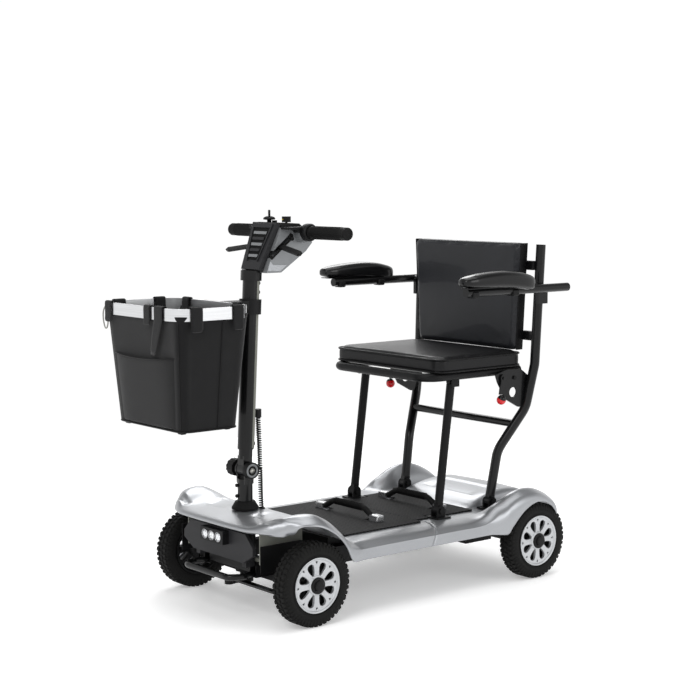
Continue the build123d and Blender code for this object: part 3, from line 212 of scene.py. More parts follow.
# Clear polycarbonate lens: facets behind it glitter.
lens_clear, tree, shader, where = finish_of(
    "clear_polycarbonate", "F4F6F8", Specular_IOR_Level=0.5, Roughness=0.04, IOR=1.58, Transmission_Weight=1.0)
facets = put(tree, "ShaderNodeTexVoronoi", {"Vector": where, "Scale": 260.0})
raise_by(tree, shader, facets.outputs["Distance"], 0.5)
reflector, tree, shader, where = finish_of("vacuum_metallised_reflector", "E8EAEC", Metallic=1.0, Roughness=0.12)
facets = put(tree, "ShaderNodeTexVoronoi", {"Vector": where, "Scale": 330.0})
raise_by(tree, shader, facets.outputs["Distance"], 1.2)

# ---------------------------------------------------------------- mesh helpers

repeat = bpy.data.node_groups.new("repeat_piece", "GeometryNodeTree")
socket_ids = {}
for label, kind in (("Piece", "Geometry"), ("Count", "Int"), ("Move", "Vector"), ("Turn", "Vector"),
                    ("Finish", "Material")):
    made = repeat.interface.new_socket(label, in_out="INPUT", socket_type=f"NodeSocket{kind}")
    socket_ids[label] = made.identifier
repeat.interface.new_socket("Geometry", in_out="OUTPUT", socket_type="NodeSocketGeometry")
inner = put(repeat, "NodeGroupInput").outputs
index = put(repeat, "GeometryNodeInputIndex").outputs["Index"]
places = put(repeat, "ShaderNodeVectorMath", {0: inner["Move"], "Scale": index}, operation="SCALE")
angles = put(repeat, "ShaderNodeVectorMath", {0: inner["Turn"], "Scale": index}, operation="SCALE")
dots = put(repeat, "GeometryNodePoints", {"Count": inner["Count"], "Position": places.outputs["Vector"]})
turned = put(repeat, "FunctionNodeEulerToRotation", {"Euler": angles.outputs["Vector"]})
copies = put(repeat, "GeometryNodeInstanceOnPoints", {
    "Points": dots.outputs[0], "Instance": inner["Piece"], "Rotation": turned.outputs["Rotation"]})
real = put(repeat, "GeometryNodeRealizeInstances", {"Geometry": copies.outputs["Instances"]})
coated = put(repeat, "GeometryNodeSetMaterial", {"Geometry": real.outputs["Geometry"], "Material": inner["Finish"]})
put(repeat, "NodeGroupOutput", {"Geometry": coated.outputs["Geometry"]})


def piece_from(name, verts, faces, material, smooth=True):
    """A new piece at the origin from points in metres."""
    mesh = bpy.data.meshes.new(name)
    mesh.from_pydata([tuple(v) for v in verts], [], faces)
    mesh.validate()
    mesh.materials.append(material)
    mesh.polygons.foreach_set("use_smooth", [smooth] * len(mesh.polygons))
    piece = bpy.data.objects.new(name, mesh)
    bpy.context.scene.collection.objects.link(piece)
    return piece


def baked(piece):
    """Applies a piece's modifiers, or turns a curve into a mesh."""
    bpy.context.view_layer.update()
    graph = bpy.context.evaluated_depsgraph_get()
    mesh = bpy.data.meshes.new_from_object(piece.evaluated_get(graph))
    if piece.type == "MESH":
        piece.modifiers.clear()
        piece.data = mesh
        return piece
    solid = bpy.data.objects.new(piece.name + "_mesh", mesh)
    bpy.context.scene.collection.objects.link(solid)
    name = piece.name
    bpy.data.objects.remove(piece)
    solid.name = name
    return solid


def modified(piece, kind, **settings):
    """Applies one modifier."""
    modifier = piece.modifiers.new(kind.lower(), kind)
    for name, value in settings.items():
        setattr(modifier, name, value)
    return baked(piece)


def repeated(piece, count, material, move=(0, 0, 0), turn=(0, 0, 0)):
    """Repeats a piece along a step, or round an axis through the origin."""
    modifier = piece.modifiers.new("repeat", "NODES")
    modifier.node_group = repeat
    values = {"Count": count, "Move": move, "Turn": turn, "Finish": material}
    for label, value in values.items():
        modifier[socket_ids[label]] = value
    return baked(piece)


def outward(piece):
    """Makes the faces of a closed piece point out."""
    form = bmesh.new()
    form.from_mesh(piece.data)
    bmesh.ops.remove_doubles(form, verts=form.verts, dist=1e-6)
    bmesh.ops.recalc_face_normals(form, faces=form.faces)
    form.to_mesh(piece.data)
    form.free()
    return piece


def placed(piece, matrix):
    """Moves a piece's mesh, and keeps its faces outward if the move mirrors it."""
    piece.data.transform(matrix)
    if matrix.determinant() < 0:
        piece.data.flip_normals()
    return piece


def copy_of(piece, name, matrix):
    """A second piece with its own mesh, moved."""
    made = bpy.data.objects.new(name, piece.data.copy())
    bpy.context.scene.collection.objects.link(made)
    return placed(made, matrix)


def joined(name, parts):
    """One piece from several, each keeping its materials."""
    mesh = bpy.data.meshes.new(name)
    form = bmesh.new()
    for part in parts:
        start, before = len(mesh.materials), len(form.faces)
        for material in part.data.materials:
            mesh.materials.append(material)
        form.from_mesh(part.data)
        form.faces.ensure_lookup_table()
        for face in form.faces[before:]:
            face.material_index += start
        bpy.data.objects.remove(part)
    form.to_mesh(mesh)
    form.free()
    piece = bpy.data.objects.new(name, mesh)
    bpy.context.scene.collection.objects.link(piece)
    return piece


def lathe(name, profile, centre, material, closed=False, segments=72):
    """Turns a line of (along x, radius) in millimetres round an X axis through a centre."""
    verts, faces, count = [], [], len(profile)
    for turn in range(segments):
        angle = math.tau * turn / segments
        for along, radius in profile:
            verts.append(centre + Vector((along, radius * math.cos(angle), radius * math.sin(angle))) / 1000)
    last = count if closed else count - 1
    for turn in range(segments):
        a, b = turn * count, (turn + 1) % segments * count
        for i in range(last):
            j = (i + 1) % count
            faces.append((a + i, a + j, b + j, b + i))
    return outward(piece_from(name, verts, faces, material))


def prism(name, outline, low_x, high_x, material, bevel=0.0, steps=2):
    """A plate from a side outline of (y, z) in millimetres between two X places, with rounded edges."""
    count = len(outline)
    verts = [at(x, y, z) for x in (low_x, high_x) for y, z in outline]
    faces = [tuple(range(count)), tuple(range(count, 2 * count))]
    faces += [(i, (i + 1) % count, count + (i + 1) % count, count + i) for i in range(count)]
    piece = outward(piece_from(name, verts, faces, material, False))
    if bevel:
        piece = softened(piece, bevel, steps)
    return piece


def softened(piece, width_mm, steps=2):
    """Rounds the edges and keeps flat faces flat."""
    return modified(piece, "BEVEL", width=width_mm / 1000, segments=steps, limit_method="ANGLE",
                    harden_normals=True, use_clamp_overlap=True)


def block(name, low, high, material, bevel=1.0, steps=2):
    """A rounded block between two places in millimetres."""
    a, b = at(*low), at(*high)
    verts = [Vector((x, y, z)) for x in (a.x, b.x) for y in (a.y, b.y) for z in (a.z, b.z)]
    faces = [(0, 1, 3, 2), (4, 6, 7, 5), (0, 4, 5, 1), (2, 3, 7, 6), (0, 2, 6, 4), (1, 5, 7, 3)]
    return softened(outward(piece_from(name, verts, faces, material, False)), bevel, steps)


def tube(name, places, radius_mm, material, closed=False, smooth=True, sides=5):
    """A round cord or wire along places in metres."""
    curve = bpy.data.curves.new(name, "CURVE")
    curve.dimensions = "3D"
    curve.bevel_depth = radius_mm / 1000
    curve.bevel_resolution = sides
    curve.use_fill_caps = True
    line = curve.splines.new("NURBS" if smooth else "POLY")
    line.points.add(len(places) - 1)
    for point, place in zip(line.points, places):
        point.co = (*place, 1.0)
    if smooth:
        line.order_u = 3
        line.use_endpoint_u = not closed
    line.use_cyclic_u = closed
    curve.materials.append(material)
    piece = bpy.data.objects.new(name, curve)
    bpy.context.scene.collection.objects.link(piece)
    return piece


def solid_tube(*args, **settings):
    return baked(tube(*args, **settings))


def spline_value(points, t):
    """A place on the smooth line through points, which may be tuples of any length."""
    last = len(points) - 1
    i = min(int(t), last - 1)
    f = t - i
    p = [points[max(0, min(last, k))] for k in (i - 1, i, i + 1, i + 2)]
    return [0.5 * (2 * b + (c - a) * f + (2 * a - 5 * b + 4 * c - d) * f * f + (3 * b - a - 3 * c + d) * f ** 3)
            for a, b, c, d in zip(*p)]


def rounded_outline(half_x, low_y, high_y, radius, per_corner=6):
    """A rounded rectangle as (x, y) in millimetres, anticlockwise from the right side."""
    corners = [(half_x - radius, high_y - radius, 0), (-half_x + radius, high_y - radius, 90),
               (-half_x + radius, low_y + radius, 180), (half_x - radius, low_y + radius, 270)]
    return [(x + radius * math.cos(math.radians(a + 90 * k / per_corner)),
             y + radius * math.sin(math.radians(a + 90 * k / per_corner)))
            for x, y, a in corners for k in range(per_corner + 1)]


def spread(outline, count):
    """The same closed outline as evenly spaced places."""
    ring = outline + outline[:1]
    runs = [math.dist(a, b) for a, b in zip(ring, ring[1:])]
    total, made, i, done = sum(runs), [], 0, 0.0
    for k in range(count):
        goal = total * k / count
        while done + runs[i] < goal:
            done += runs[i]
            i += 1
        f = (goal - done) / runs[i] if runs[i] else 0
        made.append(tuple(a + (b - a) * f for a, b in zip(ring[i], ring[i + 1])))
    return made


def loft(name, rings, material, cap_low=True, cap_high=True):
    """A skin through closed rings of the same count, in metres."""
    count = len(rings[0])
    verts = [p for ring in rings for p in ring]
    faces = [(r * count + i, r * count + (i + 1) % count, (r + 1) * count + (i + 1) % count, (r + 1) * count + i)
             for r in range(len(rings) - 1) for i in range(count)]
    if cap_low:
        faces.append(tuple(range(count)))
    if cap_high:
        faces.append(tuple(range(len(verts) - count, len(verts))))
    return outward(piece_from(name, verts, faces, material))


def settle(piece, body, slot, *replaced):
    """Fixes a finished piece to its body; the slot given for its finish is not used."""
    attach(piece, body)
    if replaced:
        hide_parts(*replaced)
    return piece


# ---------------------------------------------------------------- camera, light and floor

camera_data = bpy.data.cameras.new("view")
camera_data.lens = 83.06
camera_data.sensor_width = 36.0
camera = bpy.data.objects.new("view", camera_data)
bpy.context.scene.collection.objects.link(camera)
turn, dip = math.radians(50.5334), math.radians(6.1633)
forward = Vector((-math.sin(turn) * math.cos(dip), math.cos(turn) * math.cos(dip), -math.sin(dip)))
right = Vector((math.cos(turn), math.sin(turn), 0.0))
up = right.cross(forward)
facing = Matrix((right, up, -forward)).transposed().to_4x4()
camera.matrix_world = Matrix.Translation((3.161865, -2.555623, 1.05047)) @ facing
bpy.context.scene.camera = camera

world = bpy.data.worlds.new("studio")
world.use_nodes = True
world.node_tree.nodes["Background"].inputs["Color"].default_value = (1.0, 1.0, 1.0, 1.0)
# A white horizon under a dimmer sky, as between low soft boxes: faces that look up go darker.
sky = put(world.node_tree, "ShaderNodeSeparateXYZ", {
    "Vector": put(world.node_tree, "ShaderNodeTexCoord").outputs["Generated"]})
dimmer = put(world.node_tree, "ShaderNodeMapRange", {
    "Value": sky.outputs["Z"], "From Min": 0.28, "From Max": 0.8, "To Min": 1.02, "To Max": 0.16},
    interpolation_type="SMOOTHSTEP")
world.node_tree.links.new(dimmer.outputs["Result"], world.node_tree.nodes["Background"].inputs["Strength"])
bpy.context.scene.world = world
bpy.context.scene.view_settings.view_transform = "Standard"

for name, place, size, power in (
    ("key", (1.2, -2.6, 2.6), 1.6, 34.0),
    ("rim", (-2.2, 1.6, 2.4), 1.4, 26.0),
    ("side", (3.0, 1.2, 1.4), 1.2, 14.0),
    ("top", (0.0, 0.2, 3.4), 3.0, 60.0),
):
    lamp_data = bpy.data.lights.new(name, "AREA")
    lamp_data.size = size
    lamp_data.energy = power
    lamp = bpy.data.objects.new(name, lamp_data)
    lamp.location = place
    lamp.rotation_euler = (Vector((0, 0, 0.4)) - Vector(place)).to_track_quat("-Z", "Y").to_euler()
    bpy.context.scene.collection.objects.link(lamp)

floor_finish = finish_of("studio_floor", "FBFBFB", Roughness=0.9, Emission_Strength=0.3)[0]
reach = 2.1
floor = piece_from("floor", [(-reach, -reach, -0.0005), (reach, -reach, -0.0005), (reach, reach, -0.0005),
                             (-reach, reach, -0.0005)], [(0, 1, 2, 3)], floor_finish, False)

# ---------------------------------------------------------------- curly cord

cord_route = [(15, 17.5, 470), (15, 17, 466), (15, 19, 430), (15, 22, 380), (15, 23, 320), (15, 24, 270), (15, 26, 238)]
coil_radius, wire_radius, coil_pitch = 4.7, 1.8, 5.6
guide = tube("cord_guide", [at(*p) for p in cord_route], 0.0, cord_jacket)
guide.data.splines[0].resolution_u = 24
guide = baked(guide)
line = [v.co.copy() for v in guide.data.vertices]
bpy.data.objects.remove(guide)
if line[0].z < line[-1].z:
    line.reverse()


def helix(places):
    """Turns of wire round a line, a dozen and two places to each turn."""
    made = []
    total = sum((b - a).length for a, b in zip(places, places[1:]))
    turns = total * 1000 / coil_pitch
    steps = int(turns * 14)
    gone, i = 0.0, 0
    for k in range(steps + 1):
        goal = total * k / steps
        while i < len(places) - 2 and gone + (places[i + 1] - places[i]).length < goal:
            gone += (places[i + 1] - places[i]).length
            i += 1
        run = places[i + 1] - places[i]
        centre = places[i] + run * ((goal - gone) / run.length)
        angle = math.tau * turns * k / steps
        made.append(centre + Vector((math.cos(angle), math.sin(angle), 0)) * coil_radius / 1000)
    return made


middle_z = 0.339
for name, part, ends, cad_start in (
    ("curly_cord_upper", [p for p in line if p.z >= middle_z - 0.002], ("steering_column", "tiller"), False),
    ("curly_cord_lower", [p for p in line if p.z <= middle_z + 0.002], ("chassis", "steering_column"), True),
):
    if cad_start:
        part = part[::-1]
    places = helix(part)
    wire = tube(name, places, wire_radius, cord_jacket, sides=3)
    wire.data.splines[0].resolution_u = 2
    wire = baked(wire)
    low_end, high_end = tuple(part[-1]), tuple(part[0])
    if cad_start:
        low_end, high_end = high_end, low_end
    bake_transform(wire)
    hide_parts("curly_cord")

# ---------------------------------------------------------------- fairings


def skin(name, half_rows, material, steps=7, wall=3.0, cuts=()):
    """A moulded shell through half sections from the middle outwards, mirrored, with a wall under it."""
    across = len(half_rows[0])
    rows = []
    for r in range((len(half_rows) - 1) * steps + 1):
        t = r / steps
        half = [spline_value([row[k] for row in half_rows], t) for k in range(across)]
        fine = [spline_value(half, c / steps) for c in range((across - 1) * steps + 1)]
        fine = [[max(x, 0.0), y, z] for x, y, z in fine]
        for point in fine:
            for cut in cuts:
                point[2] -= cut(point[0], point[1])
        rows.append([(-x, y, z) for x, y, z in fine[:0:-1]] + [tuple(p) for p in fine])
    count = len(rows[0])
    verts = [at(*p) for row in rows for p in row]
    faces = [(r * count + i, r * count + i + 1, (r + 1) * count + i + 1, (r + 1) * count + i)
             for r in range(len(rows) - 1) for i in range(count - 1)]
    piece = piece_from(name, verts, faces, material)
    form = bmesh.new()
    form.from_mesh(piece.data)
    bmesh.ops.remove_doubles(form, verts=form.verts, dist=1e-5)
    bmesh.ops.recalc_face_normals(form, faces=form.faces)
    if sum(f.normal.z for f in form.faces) < 0:
        bmesh.ops.reverse_faces(form, faces=form.faces)
    form.to_mesh(piece.data)
    form.free()
    return modified(piece, "SOLIDIFY", thickness=wall / 1000, offset=-1.0, use_even_offset=True)


def sunk(outline, depth, edge):
    """A recess with sloping sides inside an outline of (x, y), as a depth to take off."""
    def depth_at(x, y):
        inside = min(((b[0] - a[0]) * (y - a[1]) - (b[1] - a[1]) * (x - a[0])) / math.dist(a, b)
                     for a, b in zip(outline, outline[1:] + outline[:1]))
        f = max(0.0, min(1.0, inside / edge))
        return depth * f * f * (3 - 2 * f)
    return depth_at


deck_x = (0, 60, 120, 165, 186, 212, 240, 256.5, 258.5, 262)
deck_z = (180, 180, 180, 180, 180, 179, 174, 164, 160, 137)
arch_x = (0, 60, 120, 165, 200, 230, 252, 266, 271, 272)
front_table = [
    (-112, deck_x, (217, 217, 217, 216, 217, 217, 217, 216, 216, 216), 10, arch_x),
    (-121, None, (222, 222, 222, 222, 222, 221, 220, 218, 217, 216), 8, arch_x),
    (-116, None, (230, 230, 230, 230, 231, 231, 228, 224, 221, 219), 8, arch_x),
    (-95, None, (234, 234, 234, 236, 243, 247, 241, 231, 226, 222), 5, arch_x),
    (-60, None, (237, 237, 237, 241, 251, 256, 251, 243, 240, 236), 0, arch_x),
    (-20, None, (239, 239, 239, 245, 256, 261, 256, 248, 244, 241), 0, arch_x),
    (15, None, (240, 240, 240, 245, 255, 260, 254, 244, 239, 235), 0, arch_x),
    (46, None, (235, 235, 235, 238, 244, 247, 239, 229, 223, 219), 0, arch_x),
    (71, None, (222, 222, 222, 223, 227, 230, 221, 210, 204, 199), 0, arch_x),
    (88, None, (210, 210, 210, 210, 212, 214, 206, 193, 185, 178), 0, arch_x),
    (99, None, (200, 200, 200, 200, 200, 201, 194, 181, 168, 156), 0, arch_x),
    (112, None, (190, 190, 190, 190, 189, 188, 182, 172, 160, 139), 0, (0, 60, 120, 165, 194, 222, 248, 263, 268, 270)),
    (130, None, (182, 182, 182, 182, 181, 180, 175, 167, 158, 137), 0, (0, 60, 120, 165, 188, 214, 242, 260, 265, 267)),
    (150, None, deck_z, 0, (0, 60, 120, 165, 186, 212, 240, 257, 260, 263)),
    (200, None, deck_z, 0, deck_x),
    (280, None, deck_z, 0, deck_x),
    (350, None, deck_z, 0, deck_x),
]
corner_back = (0, 0, 2, 6, 14, 26, 40, 54, 62, 68)
seam_shift = (0, 0, 0, -1, -4, -12, -24, -38, -42, -54)
corner_share = {-112: 0.80, -121: 0.81, -116: 0.83, -95: 0.87, -60: 0.91, -20: 0.955, 15: 0.985}
front_rows = []
for y, _, heights, pull, widths in front_table:
    widths = [x * (1 - (1 - corner_share.get(y, 1.0)) * min(1.0, x / 200)) for x in widths]
    share = {10: 1.0, 8: 1.0, 5: 0.8, 0: 0.0}[pull]
    if y == -60:
        share = 0.35
    front_rows.append([(x, y + share * c, z) for x, c, z in zip(widths, corner_back, heights)])
front_rows.append([(x, 421 + s, z) for x, s, z in zip(deck_x, seam_shift, deck_z)])
nose_slot = sunk([(150, -92), (232, -78), (226, -52), (150, -66)], 3.0, 6.0)
nose_facet = sunk([(60, -50), (128, -40), (150, 30), (62, 40)], 2.4, 9.0)
front_shell = skin("front_fairing_shell", front_rows, silver_lacquer, cuts=(nose_slot, nose_facet))
settle(front_shell, "chassis", "silver_fairing", "front_fairing")

rear_x = (0, 90, 132, 147, 186, 205, 233, 258, 270, 272)
rear_table = [
    (470, (0, 90, 132, 147, 186, 212, 240, 256.5, 258.5, 262), deck_z),
    (530, (0, 90, 132, 147, 186, 212, 240, 256.5, 258.5, 262), deck_z),
    (572, (0, 90, 132, 147, 186, 210, 238, 257, 261, 263), (180, 180, 180, 180, 180, 182, 184, 172, 162, 137)),
    (600, (0, 90, 132, 147, 186, 207, 235, 257, 266, 268), (185, 184, 182, 180, 180, 190, 202, 189, 168, 134)),
    (625, rear_x, (194, 193, 190, 180, 180, 197, 213, 202, 180, 133)),
    (642, rear_x, (200, 199, 196, 180, 180, 202, 221, 211, 190, 150)),
    (664, rear_x, (206, 205, 202, 180, 180, 207, 230, 221, 202, 171)),
    (690, rear_x, (211, 210, 207, 181, 180, 211, 236, 228, 212, 190)),
    (722, rear_x, (215, 214, 210, 182, 180, 213, 237, 230, 218, 203)),
    (750, rear_x, (217, 216, 212, 183, 180, 210, 232, 225, 214, 203)),
    (780, rear_x, (217, 215, 211, 183, 179, 203, 220, 212, 202, 190)),
    (803, rear_x, (213, 211, 207, 182, 178, 195, 206, 196, 184, 168)),
    (824, (0, 90, 131, 146, 184, 202, 228, 251, 262, 264), (204, 202, 198, 180, 176, 183, 188, 178, 166, 156)),
    (842, (0, 89, 129, 143, 180, 196, 218, 237, 246, 248), (190, 189, 185, 174, 169, 170, 170, 165, 158, 152)),
    (851, (0, 88, 127, 141, 176, 190, 208, 223, 230, 232), (168, 167, 165, 158, 154, 153, 152, 150, 148, 146)),
    (850, (0, 87, 126, 140, 174, 187, 204, 218, 225, 227), (152, 151, 150, 149, 148, 147, 146, 145, 144, 143)),
]
tail_back = (0, 0, -1, -2, -5, -8, -14, -22, -27, -29)
rear_seam_x = (0, 90, 132, 147, 186, 212, 240, 256.5, 258.5, 262)
rear_rows = [[(x, 422.4 + s, z) for x, s, z in zip(rear_seam_x, seam_shift, deck_z)]]
for y, widths, heights in rear_table:
    share = max(0.0, min(1.0, (y - 800) / 50))
    rear_rows.append([(x, y + share * t, z) for x, t, z in zip(widths, tail_back, heights)])
label_well = sunk([(-20, 662), (92, 662), (92, 742), (-20, 742)], 4.0, 5.0)
rear_shell = skin("rear_fairing_shell", rear_rows, silver_lacquer, cuts=(label_well,))
settle(rear_shell, "chassis", "silver_fairing", "rear_fairing")

# ---------------------------------------------------------------- finishes of the parts that show as drawn

shown_finishes = {
    powder_coat: ("chassis_frame", "front_axle_beam", "seat_brackets", "pitman_arm", "seat_pan_frame", "front_legs"),
    stoved_enamel: ("front_bumper", "lower_column", "upper_column", "column_sleeve", "handlebar", "rear_seat_frame",
                    "tie_rod", "left_armrest_bar", "right_armrest_bar"),
    grey_abs: ("front_panel", "head_cover"),
    black_abs: ("headlight_housing", "battery_pack", "cord_clip", "dash_panel", "throttle_lever", "ignition_key",
                "speed_dial", "basket_bracket", "tilt_knob", "horn_button"),
    lens_clear: ("headlight_lenses",),
    pale_abs: ("wheel_arch_liners",),
    cast_metal: ("transaxle", "left_knuckle", "right_knuckle", "column_bolts", "tiller_bolts"),
    soft_rubber: ("column_boot", "cord_grommet", "carry_handles", "grips"),
    
    chrome_cap: ("handle_caps",),
    head_silver: ("head_body",),
    mat_rubber: ("floor_mats",),
    anodised: ("basket_rim",),
    stoved_enamel.copy(): ("left_latch", "right_latch"),
}
for finish, names in shown_finishes.items():
    for name in names:
        nodes[name].data.materials.clear()
        nodes[name].data.materials.append(finish)

# ---------------------------------------------------------------- wheels

half_tyre = [(0, 97.6), (13, 97.2), (19, 95.8), (22.2, 92), (24.2, 86), (25, 79), (24.4, 72), (22.6, 66.5), (20, 64)]
tyre_line = [(-x, r) for x, r in half_tyre[:0:-1]] + half_tyre + [(12, 61), (-12, 61)]


def tread_block(x, low_r, high_r, wide, long, lean=0.0):
    """One rubber block standing on the tread, before it is repeated round the tyre."""
    half, depth = wide / 2000, long / 2000
    verts, faces = [], [(0, 3, 2, 1), (4, 5, 6, 7), (0, 1, 5, 4), (1, 2, 6, 5), (2, 3, 7, 6), (3, 0, 4, 7)]
    for r, narrow in ((low_r, 1.0), (high_r, 0.82)):
        for sx, sy in ((-1, -1), (1, -1), (1, 1), (-1, 1)):
            drop = lean * abs(sx * wide / 2 + x)
            verts.append((x / 1000 + sx * half * narrow, sy * depth * narrow, (r - drop) / 1000))
    return outward(piece_from("tread_block", verts, faces, tyre_rubber, False))


def ring_of_blocks(count, phase, *shape, **more):
    block_piece = placed(tread_block(*shape, **more), Matrix.Rotation(phase, 4, "X"))
    return repeated(block_piece, count, tyre_rubber, turn=(math.tau / count, 0, 0))


def side_rib(count):
    """Short ribs down the shoulder of the tyre."""
    verts = []
    for x, r in ((21.4, 93.6), (25.2, 80.5), (25.6, 81.0), (23.0, 95.2)):
        verts += [(x / 1000, -0.0016, r / 1000), (x / 1000, 0.0016, r / 1000)]
    faces = [(0, 2, 4, 6), (1, 7, 5, 3), (0, 1, 3, 2), (2, 3, 5, 4), (4, 5, 7, 6), (6, 7, 1, 0)]
    rib = outward(piece_from("shoulder_rib", verts, faces, tyre_rubber, False))
    return repeated(rib, count, tyre_rubber, turn=(math.tau / count, 0, 0))


def tyre_piece(name):
    parts = [lathe(name + "_body", tyre_line, Vector(), tyre_rubber, closed=True, segments=96)]
    for x, phase in ((-14.5, 0.0), (0.0, 0.5), (14.5, 0.0)):
        parts.append(ring_of_blocks(46, phase * math.tau / 46, x, 95.5, 100.0, 10.5, 9.0))
    for side in (-1, 1):
        ribs = side_rib(60)
        parts.append(placed(ribs, Matrix.Diagonal((side, 1, 1, 1))))
    bead = [(24.1, 71.2), (25.1, 71.6), (25.3, 70.6), (24.6, 69.9)]
    parts.append(lathe(name + "_bead", bead, Vector(), soft_rubber, closed=True, segments=96))
    return joined(name, parts)


def flat_plate(name, loops, low_x, high_x, bevel_mm, material):
    """A plate across the X axis with windows, from loops of (y, z) in millimetres, the outer one first."""
    curve = bpy.data.curves.new(name, "CURVE")
    curve.dimensions = "2D"
    curve.fill_mode = "BOTH"
    curve.extrude = (high_x - low_x) / 2000 - bevel_mm / 1000
    curve.bevel_depth = bevel_mm / 1000
    curve.bevel_resolution = 1
    curve.offset = -bevel_mm / 1000
    for loop in loops:
        line = curve.splines.new("POLY")
        line.points.add(len(loop) - 1)
        for point, (y, z) in zip(line.points, loop):
            point.co = (y / 1000, z / 1000, 0.0, 1.0)
        line.use_cyclic_u = True
    curve.materials.append(material)
    piece = bpy.data.objects.new(name, curve)
    bpy.context.scene.collection.objects.link(piece)
    piece = baked(piece)
    across = Matrix(((0, 0, 1, (low_x + high_x) / 2000), (1, 0, 0, 0), (0, 1, 0, 0), (0, 0, 0, 1)))
    return outward(placed(piece, across))


def polar(radius, degrees):
    angle = math.radians(degrees)
    return radius * math.cos(angle), radius * math.sin(angle)


def spoke_loops():
    """A wheel face with eight spokes that fork towards the rim."""
    loops = [[polar(61.5, a * 3.75) for a in range(96)]]
    for k in range(8):
        middle = 45 * k + 22.5
        loops.append([polar(r, middle + a) for r, a in (
            (25, -6), (24.5, 0), (25, 6), (33, 10.6), (43, 12.4), (50, 11), (54, 6), (55.2, 0), (54, -6), (50, -11),
            (43, -12.4), (33, -10.6))])
        loops.append([polar(r, 45 * k + a) for r, a in ((51, 0), (55, 3.0), (57.3, 2.4), (57.3, -2.4), (55, -3.0))])
    return loops


def rim_piece(name):
    parts = [flat_plate(name + "_spokes", spoke_loops(), 13.5, 21.5, 1.1, wheel_lacquer)]
    lip = [(25.0, 65.6), (24.2, 66.2), (21.0, 63.4), (8.0, 60.6), (8.0, 58.2), (20.0, 58.6), (24.4, 63.2)]
    parts.append(lathe(name + "_lip", lip, Vector(), wheel_lacquer, closed=True))
    barrel = [(7.5, 60.5), (-21, 61), (-24.5, 65.6), (-25, 64.2), (-22, 58.6), (4, 57.6), (8, 58)]
    parts.append(flat_plate(name + "_back", spoke_loops(), -12, 2, 1.2, black_abs))
    parts.append(lathe(name + "_barrel", barrel, Vector(), black_abs, closed=True))
    boss = [(20, 24.5), (23.5, 23.6), (24.5, 21.0), (24.5, 18), (12, 18), (12, 25)]
    parts.append(lathe(name + "_boss", boss, Vector(), wheel_lacquer, closed=True))
    parts.append(lathe(name + "_hub", [(-25, 0), (-25, 19), (8, 21), (8, 0)], Vector(), black_abs))
    cap = [(20, 0), (20, 20), (27, 20), (28.5, 18.5)]
    parts.append(lathe(name + "_cap", cap + [(28.5, 0)], Vector(), black_abs, segments=48))
    nut = lathe(name + "_nut", [(27, 0), (27, 15), (34, 14), (36, 10), (36.2, 0)], Vector(), black_abs, segments=8)
    nut.data.polygons.foreach_set("use_smooth", [False] * len(nut.data.polygons))
    parts.append(nut)
    return joined(name, parts)


wheel_tyre, wheel_rim = tyre_piece("tyre_pattern"), rim_piece("rim_pattern")
for name, hub_y, side in (("front_left", 0, 1), ("front_right", 0, -1), ("rear_left", 737, 1), ("rear_right", 737, -1)):
    place = Matrix.Translation(at(246 * side, hub_y, 100)) @ Matrix.Diagonal((side, 1, 1, 1))
    settle(copy_of(wheel_tyre, name + "_tyre_treaded", place), name + "_wheel", "tyre_rubber", name + "_tyre")
    slot_name = "rim_aluminium" if "front" in name else "rim_paint"
    settle(copy_of(wheel_rim, name + "_rim_spoked", place), name + "_wheel", slot_name, name + "_rim")
for pattern in (wheel_tyre, wheel_rim):
    bpy.data.objects.remove(pattern)

# ---------------------------------------------------------------- seat, backrest and armrests


def swollen(piece, cap_mm, voxel_mm=5.0, pressure=4.0):
    """Inflates a closed pad as cloth; each point may only swell, and only a little, so seams stay on its edge."""
    piece = modified(piece, "REMESH", mode="VOXEL", voxel_size=voxel_mm / 1000)
    start = [(v.co.copy(), v.normal.copy()) for v in piece.data.vertices]
    cloth = piece.modifiers.new("cloth", "CLOTH")
    cloth.settings.use_pressure = True
    cloth.settings.uniform_pressure_force = pressure
    cloth.settings.effector_weights.gravity = 0.0
    for step in range(1, 21):
        bpy.context.scene.frame_set(step)
    graph = bpy.context.evaluated_depsgraph_get()
    mesh = bpy.data.meshes.new_from_object(piece.evaluated_get(graph))
    piece.modifiers.clear()
    bpy.context.scene.frame_set(1)
    limit = cap_mm / 1000
    for (before, normal), vert in zip(start, mesh.vertices):
        swell = (vert.co - before).dot(normal)
        vert.co = before + normal * max(0.0, min(limit, swell))
    piece.data = mesh
    return piece


def cushion_rings(outline, low, high, edge, crown, turn_in, count=120):
    """Rings of a pad across a flat outline: rounded edges, sides that pull in, and crowned faces."""
    outline = spread(outline, count)
    middle = [sum(p[k] for p in outline) / count for k in (0, 1)]

    def ring(inset, height):
        made = []
        for x, y in outline:
            dx, dy = x - middle[0], y - middle[1]
            far = math.hypot(dx, dy)
            made.append((x - dx / far * inset, y - dy / far * inset, height))
        return made

    rings = []
    for f in (0.08, 0.3, 0.55, 0.8):
        rings.append([(middle[0] + (x - middle[0]) * f, middle[1] + (y - middle[1]) * f, low - 1.0 * (1 - f * f))
                      for x, y in outline])
    for inset, height in ((edge, low), (edge * 0.3, low + edge * 0.3), (turn_in, low + edge * 1.1),
                          (turn_in, high - edge * 1.1), (edge * 0.3, high - edge * 0.3), (edge, high)):
        rings.append(ring(inset, height))
    for f in (0.8, 0.55, 0.3, 0.08):
        rings.append([(middle[0] + (x - middle[0]) * f, middle[1] + (y - middle[1]) * f, high + crown * (1 - f * f))
                      for x, y in outline])
    return rings


